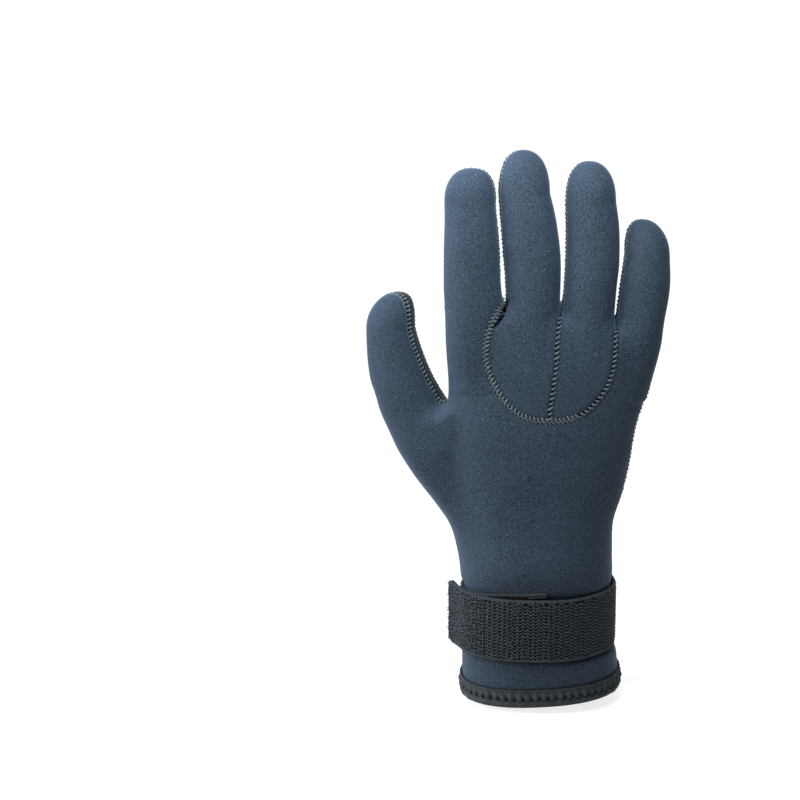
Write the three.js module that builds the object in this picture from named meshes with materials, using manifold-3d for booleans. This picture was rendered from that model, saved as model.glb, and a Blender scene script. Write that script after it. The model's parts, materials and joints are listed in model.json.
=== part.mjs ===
// Right-hand neoprene boating glove, standing upright and open as it is worn.
// Millimetres, +Z up. The back of the hand faces -Y, the palm faces +Y and the thumb points to -X.
// The origin is the middle of the cuff mouth, where the wrist goes in.

import * as THREE from 'three';
import { mergeVertices } from 'three/addons/utils/BufferGeometryUtils.js';
import Module from 'manifold-3d';

const wasm = await Module();
wasm.setup();

// Driving dimensions
const WALL = 3.0; // neoprene sheet
const SEAM_GAP = 0.3; // clearance between two panels that are sewn edge to edge
const MOUTH_SLOPE = 0.06; // the cuff mouth is a little higher on the little-finger side

const BINDING_HEIGHT = 9.5;
const BINDING_CLOTH = 1.1;
const BINDING_GAP = 0.3; // between the binding and the neoprene that it folds over

const STRAP_WIDTH = 32;
const STRAP_THICKNESS = 2.0;
const STRAP_BOTTOM = 24;
const STRAP_GAP = 0.35; // between the cuff and the first turn, and between the two turns
const STRAP_START_RISE = 2.4; // the hidden start sits a little higher than the outer turn
const STRAP_START_DEG = -86;
const STRAP_LEAVE_DEG = -502; // here the free end leaves the cuff and runs on straight
const STRAP_STEP_DEG = 7;
const STRAP_TAB_LENGTH = 20;

const HOOK_THICKNESS = 1.0;
const HOOK_EDGE = 2.0; // strap border left bare round the hook patch
const HOOK_STEPS = 5; // the patch covers the last steps of the strap's route

// Seams and reach of the solids that cut the shell into panels
const TIP_RADIUS = 0.3; // the small flat that closes a rounded fingertip
const SEAM_STEP = 0.1; // width in which a seam's depth changes between two fingers
const THUMB_WEB_X = -48; // the web between thumb and palm
const FAR_SIDE = 130;
const FAR_DEPTH = 80;
const ABOVE_TIPS = 292;

// How finely the curved walls are faceted
const OUTER_STEP = 11; // height of one ring of facets
const INNER_STEP = 22;
const TRUNK_SIDES = 40;
const TRUNK_INNER_SIDES = 24;
const FINGER_SIDES = 16;
const FINGER_INNER_SIDES = 10;
const THUMB_SIDES = 20;
const THUMB_INNER_SIDES = 12;

// Reads a short table: one name for each column, one row for each section or point
function table(names, rows) {
  const keys = names.split(' ');
  return rows.map((row) => Object.fromEntries(keys.map((key, i) => [key, row[i]])));
}

// Cuff, wrist and palm, from the mouth to the webs between the fingers
const trunk = {
  power: 2.3,
  rows: table('z x y halfWidth halfDepth', [
    [-4, 1.5, 0, 40.4, 33.4],
    [6, 1.4, 0, 40.4, 33.4],
    [18, 0.9, 0, 40.0, 33.0],
    [22, 0.5, 0, 39.3, 32.6],
    [23.7, 0.0, 0, 37.0, 30.9],
    [40, 0.0, 0, 36.9, 30.8],
    [58.6, 0.0, 0, 37.0, 30.9],
    [61.5, -0.4, 0, 38.2, 31.6],
    [66, -0.8, 0, 38.5, 31.4],
    [72, -1.2, 0, 38.6, 30.8],
    [88, -1.8, 0, 39.7, 28.6],
    [104, -0.7, -0.4, 42.8, 26.4],
    [119, 0.1, -0.9, 45.1, 24.6],
    [135, 0.8, -1.4, 46.7, 23.0],
    [150, 2.8, -1.8, 48.6, 20.8],
    [162, 3.9, -2.0, 49.9, 19.2],
    [175, 5.3, -2.0, 51.8, 17.4],
    [184, 5.4, -1.9, 52.0, 15.8],
    [189, 2.0, -1.7, 48.0, 14.2],
    [193, -3.5, -1.4, 40.5, 12.2],
    [196.5, -8.5, -1.1, 33.0, 9.4],
    [199.0, -9.5, -0.8, 25.0, 5.6],
    [200.2, -9.0, -0.8, 16.0, 2.0],
  ]),
};

// Finger rows end where the rounded tip starts. seamThumbSide and seamLittleSide say how far the
// side seams lie from the finger's middle depth, towards the palm.
const index = {
  power: 2.2,
  seamThumbSide: 5.0,
  seamLittleSide: -1.0,
  tip: { x: -34.8, y: 8.0, z: 266.3 },
  rows: table('z x y halfWidth halfDepth', [
    [158, -30.5, -1.8, 13.0, 14.0],
    [176, -32.0, -1.8, 14.4, 15.0],
    [190, -33.0, -1.5, 14.8, 14.8],
    [200, -33.4, -1.0, 14.6, 14.2],
    [212, -34.1, 0.0, 14.2, 13.5],
    [225, -34.5, 1.6, 13.9, 12.9],
    [240, -35.2, 4.0, 13.1, 12.1],
    [247, -35.6, 5.2, 12.6, 11.5],
  ]),
};

const middle = {
  power: 2.2,
  seamThumbSide: -1.0,
  seamLittleSide: 9.0,
  tip: { x: -9.4, y: 8.5, z: 274.4 },
  rows: table('z x y halfWidth halfDepth', [
    [158, -3.6, -2.0, 12.6, 14.4],
    [176, -4.1, -2.0, 13.6, 15.6],
    [190, -4.3, -1.8, 13.7, 15.4],
    [200, -4.3, -1.3, 13.7, 14.7],
    [212, -4.4, -0.4, 14.1, 14.0],
    [225, -5.1, 1.2, 14.4, 13.3],
    [240, -6.8, 3.6, 13.8, 12.6],
    [253, -8.8, 5.8, 13.0, 11.9],
  ]),
};

const ring = {
  power: 2.2,
  seamThumbSide: -1.0,
  seamLittleSide: 9.0,
  tip: { x: 23.4, y: 8.0, z: 269.0 },
  rows: table('z x y halfWidth halfDepth', [
    [158, 21.0, -2.0, 12.0, 14.0],
    [176, 22.6, -2.0, 12.8, 15.0],
    [190, 23.2, -1.7, 13.0, 14.8],
    [200, 23.6, -1.2, 13.1, 14.2],
    [210, 24.3, -0.4, 13.1, 13.6],
    [220, 25.1, 0.8, 13.4, 13.0],
    [235, 25.2, 3.2, 13.1, 12.3],
    [249, 24.0, 5.4, 12.2, 11.3],
  ]),
};

const little = {
  power: 2.2,
  seamThumbSide: -1.0,
  seamLittleSide: 8.4,
  tip: { x: 49.9, y: 6.6, z: 241.2 },
  rows: table('z x y halfWidth halfDepth', [
    [152, 41.0, -1.8, 11.4, 12.6],
    [168, 45.0, -1.8, 11.8, 13.2],
    [180, 47.3, -1.6, 12.2, 13.2],
    [190, 48.7, -1.2, 12.3, 12.8],
    [200, 50.3, -0.4, 12.3, 12.2],
    [210, 51.4, 0.8, 11.9, 11.6],
    [222, 51.8, 2.8, 11.1, 10.6],
  ]),
};

const thumb = {
  power: 2.1,
  seamThumbSide: 11.0,
  seamLittleSide: -7.4,
  tip: { x: -71.2, y: 21.0, z: 201.6 },
  rows: table('z x y halfWidth halfDepth', [
    [58, -20.0, 2.0, 12.0, 17.0],
    [72, -24.5, 2.5, 13.8, 19.5],
    [84, -29.0, 3.4, 14.6, 20.6],
    [97, -37.0, 4.8, 15.6, 20.6],
    [111, -46.2, 6.6, 17.4, 19.8],
    [122, -53.2, 8.0, 17.7, 19.0],
    [132, -58.3, 9.4, 17.3, 18.0],
    [142, -62.8, 10.8, 17.0, 17.0],
    [150, -66.0, 12.0, 16.4, 16.2],
    [158, -69.6, 13.2, 15.4, 15.4],
    [167, -72.0, 14.6, 14.2, 14.4],
    [176, -73.5, 16.0, 13.1, 13.4],
    [184, -74.6, 17.4, 12.2, 12.4],
  ]),
};

const fingers = [index, middle, ring, little];

// Lower edge of the grip panel, across the heel of the hand, seen from the front
const heelSeam = table('x z', [
  [FAR_SIDE, 85],
  [40, 85],
  [28, 81.5],
  [12, 80],
  [-4, 81],
  [-18, 84.5],
  [-30, 90.5],
  [-42, 98],
  [-54, 106],
  [-66, 112],
  [-FAR_SIDE, 114],
]);

// U-shaped seam round the knuckles, from the index side web to the little-finger side web
const knuckleSeam = table('x z', [
  [-18.2, 199.5],
  [-23.8, 196],
  [-27.3, 188.8],
  [-28.4, 181.2],
  [-28.0, 173.2],
  [-26.2, 166.4],
  [-22.6, 158.6],
  [-17.2, 151.6],
  [-10.8, 146.6],
  [-3.6, 144.4],
  [4.0, 144.0],
  [10.6, 144.4],
  [16.4, 145.8],
  [22.2, 149.2],
  [27.8, 154.6],
  [31.8, 160.6],
  [34.0, 166.4],
  [35.2, 172.4],
  [35.5, 178.4],
  [35.6, 185.0],
  [36.8, 191.5],
]);

// Seam between the middle and ring finger panels, from their web down to the U
const centreSeam = table('x z', [
  [10.0, 199.5],
  [8.4, 193],
  [7.2, 186],
  [6.8, 178.7],
  [6.6, 171.7],
  [5.8, 165.2],
  [5.0, 158.7],
  [3.9, 152.2],
  [3.4, 144.0],
]);

// A table's value at a height, on a smooth curve through its rows
function valueAt(rows, key, z) {
  const last = rows.length - 1;
  if (z <= rows[0].z) return rows[0][key];
  if (z >= rows[last].z) return rows[last][key];
  const i = rows.findIndex((row) => row.z >= z) - 1;
  const p0 = rows[Math.max(i - 1, 0)];
  const p1 = rows[i];
  const p2 = rows[i + 1];
  const p3 = rows[Math.min(i + 2, last)];
  const span = p2.z - p1.z;
  const slope1 = ((p2[key] - p0[key]) / (p2.z - p0.z)) * span;
  const slope2 = ((p3[key] - p1[key]) / (p3.z - p1.z)) * span;
  const t = (z - p1.z) / span;
  const h00 = 2 * t ** 3 - 3 * t ** 2 + 1;
  const h10 = t ** 3 - 2 * t ** 2 + t;
  const h01 = -2 * t ** 3 + 3 * t ** 2;
  const h11 = t ** 3 - t ** 2;
  return h00 * p1[key] + h10 * slope1 + h01 * p2[key] + h11 * slope2;
}

// The horizontal section of a limb at a height, with its rounded tip worked out as an ellipse
function sectionAt(limb, z) {
  const last = limb.rows[limb.rows.length - 1];
  const section = { z, power: limb.power };
  for (const key of ['x', 'y', 'halfWidth', 'halfDepth']) {
    section[key] = valueAt(limb.rows, key, z);
  }
  if (limb.tip && z > last.z) {
    const t = Math.min((z - last.z) / (limb.tip.z - last.z), 1);
    const shrink = Math.sqrt(1 - t * t);
    section.x = last.x + (limb.tip.x - last.x) * t * t;
    section.y = last.y + (limb.tip.y - last.y) * t;
    section.halfWidth = last.halfWidth * shrink;
    section.halfDepth = last.halfDepth * shrink;
  }
  return section;
}

// Points round a section, on a superellipse that is a little squarer than an ellipse
function sectionPoints(section, sides) {
  const points = [];
  for (let i = 0; i < sides; i += 1) {
    const angle = (2 * Math.PI * i) / sides;
    const c = Math.cos(angle);
    const s = Math.sin(angle);
    const reach = (Math.abs(c) ** section.power + Math.abs(s) ** section.power) ** (-1 / section.power);
    points.push([
      section.x + section.halfWidth * c * reach,
      section.y + section.halfDepth * s * reach,
      section.z,
    ]);
  }
  return points;
}

// Heights at which a limb gets a ring of facets, closer together over its rounded tip
function ringHeights(limb, step, inset) {
  const first = limb.rows[0].z;
  const last = limb.rows[limb.rows.length - 1].z;
  const count = Math.round((last - first) / step);
  const heights = [];
  for (let i = 0; i <= count; i += 1) heights.push(first + ((last - first) * i) / count);
  if (limb.tip) {
    const domeRings = inset > 0 ? 3 : 5;
    for (let i = 1; i < domeRings; i += 1) {
      heights.push(last + (limb.tip.z - last) * Math.sin((Math.PI / 2) * (i / domeRings)));
    }
  }
  return heights;
}

// The walls between the rings of a stack that all have the same number of points
function wallTriangles(ringCount, sides) {
  const triangles = [];
  for (let r = 0; r + 1 < ringCount; r += 1) {
    for (let i = 0; i < sides; i += 1) {
      const a = r * sides + i;
      const b = r * sides + ((i + 1) % sides);
      triangles.push(a, b, b + sides, a, b + sides, a + sides);
    }
  }
  return triangles;
}

// A closed solid from a stack of rounded rings. Each end is closed by triangles round its middle
function stackSolid(rings) {
  const sides = rings[0].length;
  const positions = rings.flat();
  const triangles = wallTriangles(rings.length, sides);
  const addCap = (ringIndex, atEnd) => {
    const middlePoint = [0, 1, 2].map((k) => rings[ringIndex].reduce((sum, p) => sum + p[k], 0) / sides);
    const hub = positions.length;
    positions.push(middlePoint);
    for (let i = 0; i < sides; i += 1) {
      const a = ringIndex * sides + i;
      const b = ringIndex * sides + ((i + 1) % sides);
      if (atEnd) triangles.push(a, b, hub);
      else triangles.push(b, a, hub);
    }
  };
  addCap(0, false);
  addCap(rings.length - 1, true);
  return makeSolid(positions, triangles);
}

// A closed solid from a stack of level rings of any outline
function columnSolid(rings) {
  const sides = rings[0].length;
  const triangles = wallTriangles(rings.length, sides);
  const addCap = (ringIndex, atEnd) => {
    const contour = rings[ringIndex].map((p) => new THREE.Vector2(p[0], p[1]));
    for (const face of THREE.ShapeUtils.triangulateShape(contour, [])) {
      const corners = face.map((i) => ringIndex * sides + i);
      triangles.push(...(atEnd ? corners : corners.reverse()));
    }
  };
  addCap(0, false);
  addCap(rings.length - 1, true);
  return makeSolid(rings.flat(), triangles);
}

function makeSolid(positions, triangles) {
  return new wasm.Manifold(
    new wasm.Mesh({
      numProp: 3,
      vertProperties: new Float32Array(positions.flat()),
      triVerts: new Uint32Array(triangles),
    }),
  );
}

// A section drawn in by an inset. Its flats, not its corners, then lie at the inset, so that the
// wall is never thicker than it should be
function insetSection(section, sides, inset) {
  if (inset === 0) return section;
  const reach = 1 / Math.cos(Math.PI / sides);
  const halfWidth = Math.max((section.halfWidth - inset) * reach, 0.8);
  const halfDepth = Math.max((section.halfDepth - inset) * reach, 0.8);
  return { ...section, halfWidth, halfDepth };
}

// One limb as a solid, drawn in by the inset on every side
function limbSolid(limb, sides, step, inset) {
  const rings = ringHeights(limb, step, inset).map((z) =>
    sectionPoints(insetSection(sectionAt(limb, z), sides, inset), sides),
  );
  const { x, y, z } = limb.tip;
  const point = { x, y, z: z - inset, power: 2, halfWidth: TIP_RADIUS, halfDepth: TIP_RADIUS };
  const rising = rings.filter((points) => points[0][2] < point.z - 0.5);
  return stackSolid([...rising, sectionPoints(point, sides)]);
}

// Cuff, wrist and palm as a solid. Its lowest ring follows the sloping mouth: the outer wall ends
// inside the binding's fold, and the hollow runs on below it
function trunkSolid(sides, inset) {
  const inner = inset > 0;
  const rows = inner ? trunk.rows.slice(0, -2) : trunk.rows;
  const rings = rows.map((row) =>
    sectionPoints(insetSection(sectionAt(trunk, row.z), sides, inset), sides),
  );
  const lowest = inner ? -6 : BINDING_CLOTH + BINDING_GAP;
  rings[0].forEach((point) => {
    point[2] = lowest + MOUTH_SLOPE * point[0];
  });
  return stackSolid(rings);
}

const unite = (solids) => solids.reduce((sum, solid) => sum.add(solid));

// The whole glove as one hollow wall, open at the cuff mouth
function gloveShell() {
  const outer = unite([
    trunkSolid(TRUNK_SIDES, 0),
    ...fingers.map((limb) => limbSolid(limb, FINGER_SIDES, OUTER_STEP, 0)),
    limbSolid(thumb, THUMB_SIDES, OUTER_STEP, 0),
  ]);
  const inner = unite([
    trunkSolid(TRUNK_INNER_SIDES, WALL),
    ...fingers.map((limb) => limbSolid(limb, FINGER_INNER_SIDES, INNER_STEP, WALL)),
    limbSolid(thumb, THUMB_INNER_SIDES, INNER_STEP, WALL),
  ]);
  return outer.subtract(inner);
}

// Depth of the side seams below the fingers, along the two edges of the palm
const palmEdges = table('z thumbSide littleSide', [
  [60, 5, -2],
  [100, 5, -2],
  [140, 5, -1],
  [165, 5, 3],
  [186, 4.5, 8],
  [200, 4.5, 8],
]);

// Upright lines that the side seams follow, from the thumb's outer edge across to the little
// finger, each with its place and its depth at one height
function seamLines(z, side) {
  const lines = [];
  const addLine = (x, depth) => lines.push({ x, depth: depth + (side * SEAM_GAP) / 2 });
  // Between two fingers the seam goes round their web, so its depth changes at one place
  const addStep = (x, before, after) => {
    const shift = ((before > after ? side : -side) * SEAM_GAP) / 2;
    addLine(x + shift - SEAM_STEP / 2, before);
    addLine(x + shift + SEAM_STEP / 2, after);
  };
  const [thumbOuter, thumbInner] = seamEdges(thumb, z);
  thumbInner.x = Math.min(thumbInner.x, THUMB_WEB_X - 1);
  thumbOuter.x = Math.min(thumbOuter.x, THUMB_WEB_X - 2);
  const edges = fingers.map((finger) => seamEdges(finger, z));
  const inFingers = THREE.MathUtils.smoothstep(z, 178, 192);
  const first = edges[0][0];
  const last = edges[3][1];
  first.x = Math.max(first.x, THUMB_WEB_X);
  first.depth = THREE.MathUtils.lerp(valueAt(palmEdges, 'thumbSide', z), first.depth, inFingers);
  last.depth = THREE.MathUtils.lerp(valueAt(palmEdges, 'littleSide', z), last.depth, inFingers);
  addLine(-FAR_SIDE, thumbOuter.depth);
  addLine(thumbOuter.x, thumbOuter.depth);
  addLine(thumbInner.x, thumbInner.depth);
  addStep((thumbInner.x + first.x) / 2, thumbInner.depth, first.depth);
  edges.forEach(([left, right], i) => {
    if (i > 0) addStep((edges[i - 1][1].x + left.x) / 2, edges[i - 1][1].depth, left.depth);
    addLine((left.x + right.x) / 2, (left.depth + right.depth) / 2);
  });
  addLine(last.x, last.depth);
  addLine(FAR_SIDE, last.depth);
  return lines;
}

// The two side seams of a finger at a height. Over its rounded tip they keep their places
function seamEdges(limb, z) {
  const section = sectionAt(limb, Math.min(z, limb.rows[limb.rows.length - 1].z));
  const middleDepth = sectionAt(limb, z).y;
  return [
    { x: section.x - section.halfWidth, depth: middleDepth + limb.seamThumbSide },
    { x: section.x + section.halfWidth, depth: middleDepth + limb.seamLittleSide },
  ];
}

// Everything on the palm's side of the side seams: side is 1 for the grip panel's own edge
// and -1 for the edge of the panels that it meets
function palmSideSolid(side) {
  const bottom = 50;
  const rowCount = 18;
  const rings = [];
  for (let r = 0; r <= rowCount; r += 1) {
    const z = bottom + ((ABOVE_TIPS - bottom) * r) / rowCount;
    rings.push([
      ...seamLines(z, side).map((line) => [line.x, line.depth, z]),
      [FAR_SIDE, FAR_DEPTH, z],
      [-FAR_SIDE, FAR_DEPTH, z],
    ]);
  }
  const shift = (side * SEAM_GAP) / 2;
  const heel = heelSeam.map((point) => ({ x: point.x, z: point.z + shift }));
  const top = table('x z', [[-FAR_SIDE, ABOVE_TIPS - 1], [FAR_SIDE, ABOVE_TIPS - 1]]);
  return columnSolid(rings).intersect(frontOutlineSolid([...heel, ...top]));
}

// An outline drawn as the glove is seen from the front, carried right through its depth
function frontOutlineSolid(outline) {
  const shape = new THREE.Shape(outline.map((point) => new THREE.Vector2(point.x, point.z)));
  const geometry = new THREE.ExtrudeGeometry(shape, { depth: 2 * FAR_DEPTH, bevelEnabled: false });
  geometry.rotateX(Math.PI / 2);
  geometry.translate(0, FAR_DEPTH, 0);
  return geometrySolid(geometry);
}

function geometrySolid(geometry) {
  geometry.deleteAttribute('normal');
  geometry.deleteAttribute('uv');
  const merged = mergeVertices(geometry, 1e-4);
  return new wasm.Manifold(
    new wasm.Mesh({
      numProp: 3,
      vertProperties: new Float32Array(merged.attributes.position.array),
      triVerts: new Uint32Array(merged.index.array),
    }),
  );
}

// Moves a line sideways: a positive distance goes to its left as it is followed
function offsetLine(points, distance) {
  return points.map((point, i) => {
    const before = points[Math.max(i - 1, 0)];
    const after = points[Math.min(i + 1, points.length - 1)];
    const length = Math.hypot(after.x - before.x, after.z - before.z);
    const normalX = -(after.z - before.z) / length;
    const normalZ = (after.x - before.x) / length;
    return { x: point.x + normalX * distance, z: point.z + normalZ * distance };
  });
}

// Middle of the gap between two neighbouring fingers, from their web up past their tips
function gapLine(left, right) {
  const heights = [206, 216, 228, 240, 247, 254, ABOVE_TIPS];
  return heights.map((z) => ({ x: (seamEdges(left, z)[1].x + seamEdges(right, z)[0].x) / 2, z }));
}

// The front outline of one knuckle panel, drawn in by half a seam gap or let out by it
function knucklePanelOutline(finger, side) {
  const inward = (side * SEAM_GAP) / 2;
  const u = offsetLine(knuckleSeam, inward);
  const foot = centreSeam[centreSeam.length - 1];
  const turn = knuckleSeam.findIndex((point) => point.x > foot.x);
  if (finger === middle) {
    return [
      ...u.slice(0, turn),
      { x: foot.x - inward, z: foot.z + inward },
      ...offsetLine(centreSeam, -inward).slice(0, -1).reverse(),
      ...gapLine(middle, ring),
      ...gapLine(index, middle).reverse(),
    ];
  }
  return [
    ...gapLine(ring, little),
    ...gapLine(middle, ring).reverse(),
    ...offsetLine(centreSeam, inward).slice(0, -1),
    { x: foot.x + inward, z: foot.z + inward },
    ...u.slice(turn),
  ];
}

// The neoprene shell, cut along its seams into the panels that are sewn together
function panelSolids() {
  const shell = gloveShell();
  const backs = shell.subtract(palmSideSolid(-1));
  const knucklePanel = (finger, side) => frontOutlineSolid(knucklePanelOutline(finger, side));
  return {
    back_panel: backs.subtract(knucklePanel(middle, -1)).subtract(knucklePanel(ring, -1)),
    middle_finger_panel: backs.intersect(knucklePanel(middle, 1)),
    ring_finger_panel: backs.intersect(knucklePanel(ring, 1)),
    palm_panel: shell.intersect(palmSideSolid(1)),
  };
}

// The cuff's oval at a height, let out by a distance
function cuffPoint(degrees, z, distance) {
  const section = sectionAt(trunk, z);
  section.halfWidth += distance;
  section.halfDepth += distance;
  const angle = THREE.MathUtils.degToRad(degrees);
  const c = Math.cos(angle);
  const s = Math.sin(angle);
  const reach = (Math.abs(c) ** section.power + Math.abs(s) ** section.power) ** (-1 / section.power);
  return [section.x + section.halfWidth * c * reach, section.y + section.halfDepth * s * reach];
}

// Binding tape folded round the cuff's edge: a channel that opens upwards
function hemBindingSolid() {
  const sides = TRUNK_SIDES;
  const out = BINDING_CLOTH + BINDING_GAP;
  const profile = table('distance height', [
    [out, 1.2],
    [out, BINDING_HEIGHT],
    [BINDING_GAP, BINDING_HEIGHT],
    [BINDING_GAP, BINDING_CLOTH],
    [-WALL - BINDING_GAP, BINDING_CLOTH],
    [-WALL - BINDING_GAP, BINDING_HEIGHT],
    [-WALL - out, BINDING_HEIGHT],
    [-WALL - out, 1.2],
    [-WALL - out + 1.2, 0],
    [out - 1.2, 0],
  ]);
  const positions = [];
  const triangles = [];
  for (let i = 0; i < sides; i += 1) {
    const degrees = (360 * i) / sides;
    const next = ((i + 1) % sides) * profile.length;
    profile.forEach(({ distance, height }, k) => {
      const [x, y] = cuffPoint(degrees, Math.max(height, 0), distance);
      positions.push([x, y, height + MOUTH_SLOPE * x]);
      const a = i * profile.length + k;
      const b = i * profile.length + ((k + 1) % profile.length);
      const c = next + ((k + 1) % profile.length);
      const d = next + k;
      triangles.push(a, c, b, a, d, c);
    });
  }
  return makeSolid(positions, triangles);
}

// The strap's route round the cuff, seen from above, with how high it has climbed at each step.
// It starts under its own outer turn and ends in a free tab of the length asked for
function strapRoute(tabLength) {
  const route = [];
  const hookRoom = HOOK_THICKNESS + STRAP_GAP;
  const middleHeight = STRAP_BOTTOM + STRAP_WIDTH / 2;
  for (let degrees = STRAP_START_DEG; degrees > STRAP_LEAVE_DEG; degrees -= STRAP_STEP_DEG) {
    const turned = STRAP_START_DEG - degrees;
    const overStart = THREE.MathUtils.smoothstep(turned, 310, 355);
    const overHook = THREE.MathUtils.smoothstep(turned, 362, 400);
    const overlap = overStart * (STRAP_THICKNESS + STRAP_GAP) + overHook * hookRoom;
    const [x, y] = cuffPoint(degrees, middleHeight, STRAP_GAP + overlap);
    const rise = STRAP_START_RISE * (1 - THREE.MathUtils.smoothstep(turned, 0, 150));
    route.push({ x, y, rise });
  }
  const [previous, last] = route.slice(-2);
  const step = Math.hypot(last.x - previous.x, last.y - previous.y);
  for (const share of [0.35, 0.7, 1]) {
    const reach = (share * tabLength) / step;
    const x = last.x + (last.x - previous.x) * reach;
    const y = last.y + (last.y - previous.y) * reach;
    route.push({ x, y, rise: 0 });
  }
  return route;
}

// A flat band along a route. Its inner and outer faces lie at distances out from the route's line
function bandSolid(route, inner, outer, bottom, top) {
  const rings = route.map((point, i) => {
    const before = route[Math.max(i - 1, 0)];
    const after = route[Math.min(i + 1, route.length - 1)];
    const length = Math.hypot(after.x - before.x, after.y - before.y);
    const outX = -(after.y - before.y) / length;
    const outY = (after.x - before.x) / length;
    const corners = table('distance z', [[inner, bottom], [outer, bottom], [outer, top], [inner, top]]);
    return corners.map(({ distance, z }) => [
      point.x + outX * distance,
      point.y + outY * distance,
      z + point.rise,
    ]);
  });
  return stackSolid(rings);
}

// Finishes
const colours = {
  navyKnit: { color: 0x2f3f55, roughness: 0.85 },
  gripKnit: { color: 0x2a3438, roughness: 0.8 },
  blackTape: { color: 0x17191c, roughness: 0.9 },
};

function addMesh(group, name, solid, finish) {
  const mesh = solid.getMesh();
  const geometry = new THREE.BufferGeometry();
  const xyz = new Float32Array((mesh.vertProperties.length / mesh.numProp) * 3);
  for (let i = 0; i < xyz.length / 3; i += 1) {
    for (let k = 0; k < 3; k += 1) xyz[3 * i + k] = mesh.vertProperties[mesh.numProp * i + k];
  }
  geometry.setAttribute('position', new THREE.BufferAttribute(xyz, 3));
  geometry.setIndex(new THREE.BufferAttribute(new Uint32Array(mesh.triVerts), 1));
  geometry.computeVertexNormals();
  const material = new THREE.MeshStandardMaterial({ ...finish, metalness: 0 });
  const piece = new THREE.Mesh(geometry, material);
  piece.name = name;
  group.add(piece);
}

const glove = new THREE.Group();
for (const [name, solid] of Object.entries(panelSolids())) {
  addMesh(glove, name, solid, name === 'palm_panel' ? colours.gripKnit : colours.navyKnit);
}
addMesh(glove, 'hem_binding', hemBindingSolid(), colours.blackTape);

const strapTop = STRAP_BOTTOM + STRAP_WIDTH;
const strap = bandSolid(strapRoute(STRAP_TAB_LENGTH), 0, STRAP_THICKNESS, STRAP_BOTTOM, strapTop);
addMesh(glove, 'wrist_strap', strap, colours.blackTape);

const hookRoute = strapRoute(STRAP_TAB_LENGTH - HOOK_EDGE).slice(-HOOK_STEPS);
const hookInner = -HOOK_THICKNESS - STRAP_GAP;
const hookPatch = bandSolid(
  hookRoute,
  hookInner,
  -STRAP_GAP,
  STRAP_BOTTOM + HOOK_EDGE,
  strapTop - HOOK_EDGE,
);
addMesh(glove, 'hook_patch', hookPatch, colours.blackTape);

export default glove;
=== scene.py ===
"""Boating glove: neoprene panels, gripping palm, sewn seams, bound cuff and wrist strap.

Laid out as a Blender add-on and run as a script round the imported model. Each operator makes one
group of pieces, and main() calls them in order. Tables are in millimetres, meshes in metres.
"""

import json
import math

import bpy
import numpy as np
from bpy.props import FloatProperty, FloatVectorProperty, PointerProperty
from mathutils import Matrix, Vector

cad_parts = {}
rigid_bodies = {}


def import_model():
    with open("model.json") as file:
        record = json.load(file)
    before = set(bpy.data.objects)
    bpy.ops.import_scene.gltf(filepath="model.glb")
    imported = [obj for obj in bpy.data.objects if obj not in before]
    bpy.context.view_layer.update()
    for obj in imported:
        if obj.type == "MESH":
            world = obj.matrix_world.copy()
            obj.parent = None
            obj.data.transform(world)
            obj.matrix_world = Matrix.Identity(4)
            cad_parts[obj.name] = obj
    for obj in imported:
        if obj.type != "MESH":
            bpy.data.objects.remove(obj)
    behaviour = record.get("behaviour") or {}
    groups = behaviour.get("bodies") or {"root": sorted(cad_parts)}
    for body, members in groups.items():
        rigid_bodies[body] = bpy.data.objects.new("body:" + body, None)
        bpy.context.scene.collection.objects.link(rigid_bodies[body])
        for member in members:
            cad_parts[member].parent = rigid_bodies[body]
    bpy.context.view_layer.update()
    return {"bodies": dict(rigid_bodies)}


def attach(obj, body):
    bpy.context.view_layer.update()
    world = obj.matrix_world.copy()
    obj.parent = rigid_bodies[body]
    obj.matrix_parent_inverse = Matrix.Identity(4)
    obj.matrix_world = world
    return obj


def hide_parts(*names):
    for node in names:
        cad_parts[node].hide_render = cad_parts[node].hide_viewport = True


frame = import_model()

bl_info = {
    "name": "Boating glove",
    "version": (1, 0, 0),
    "blender": (4, 5, 0),
    "location": "View3D > Sidebar > Glove",
    "description": "Neoprene boating glove with a dotted grip palm and a wrist strap",
    "category": "Add Mesh",
}

MM = 0.001
BODY = next(iter(frame["bodies"]))


def table(names, rows):
    """A short table of millimetres as one array for each named column."""
    return {name: np.array([row[i] for row in rows], float) for i, name in enumerate(names.split())}


# The form of the glove

SECTION = "z x y half_width half_depth"

TRUNK_ROWS = table(
    SECTION,
    [
        (-4, 2.0, 0, 39.9, 33.4), (6, 1.9, 0, 39.9, 33.4), (18, 1.4, 0, 39.5, 33.0),
        (22, 0.8, 0, 39.0, 32.6), (23.7, 0.0, 0, 37.0, 30.9), (40, 0.0, 0, 36.9, 30.8),
        (56.0, -0.2, 0, 37.2, 31.0), (58.4, -0.7, 0, 38.1, 31.9), (61.5, -0.8, 0, 38.5, 32.7),
        (66, -0.9, 0, 38.6, 33.6), (72, -1.2, 0, 38.6, 33.1), (88, -1.8, 0, 39.7, 29.2),
        (104, -0.7, -0.4, 42.8, 26.4), (119, 0.1, -0.9, 45.1, 24.6), (135, 0.8, -1.4, 46.7, 23.0),
        (150, 2.8, -1.8, 48.6, 20.8), (162, 3.9, -2.0, 49.9, 19.2), (175, 5.3, -2.0, 51.8, 17.4),
        (184, 5.4, -1.9, 52.0, 15.8), (189, 2.0, -1.7, 48.0, 14.2), (193, -4.3, -1.4, 39.7, 12.2),
        (196.5, -7.5, -1.1, 32.0, 9.4), (199.0, -3.0, -0.8, 18.5, 5.6),
        (200.2, -3.0, -0.8, 11.0, 2.0),
    ],
)

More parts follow.
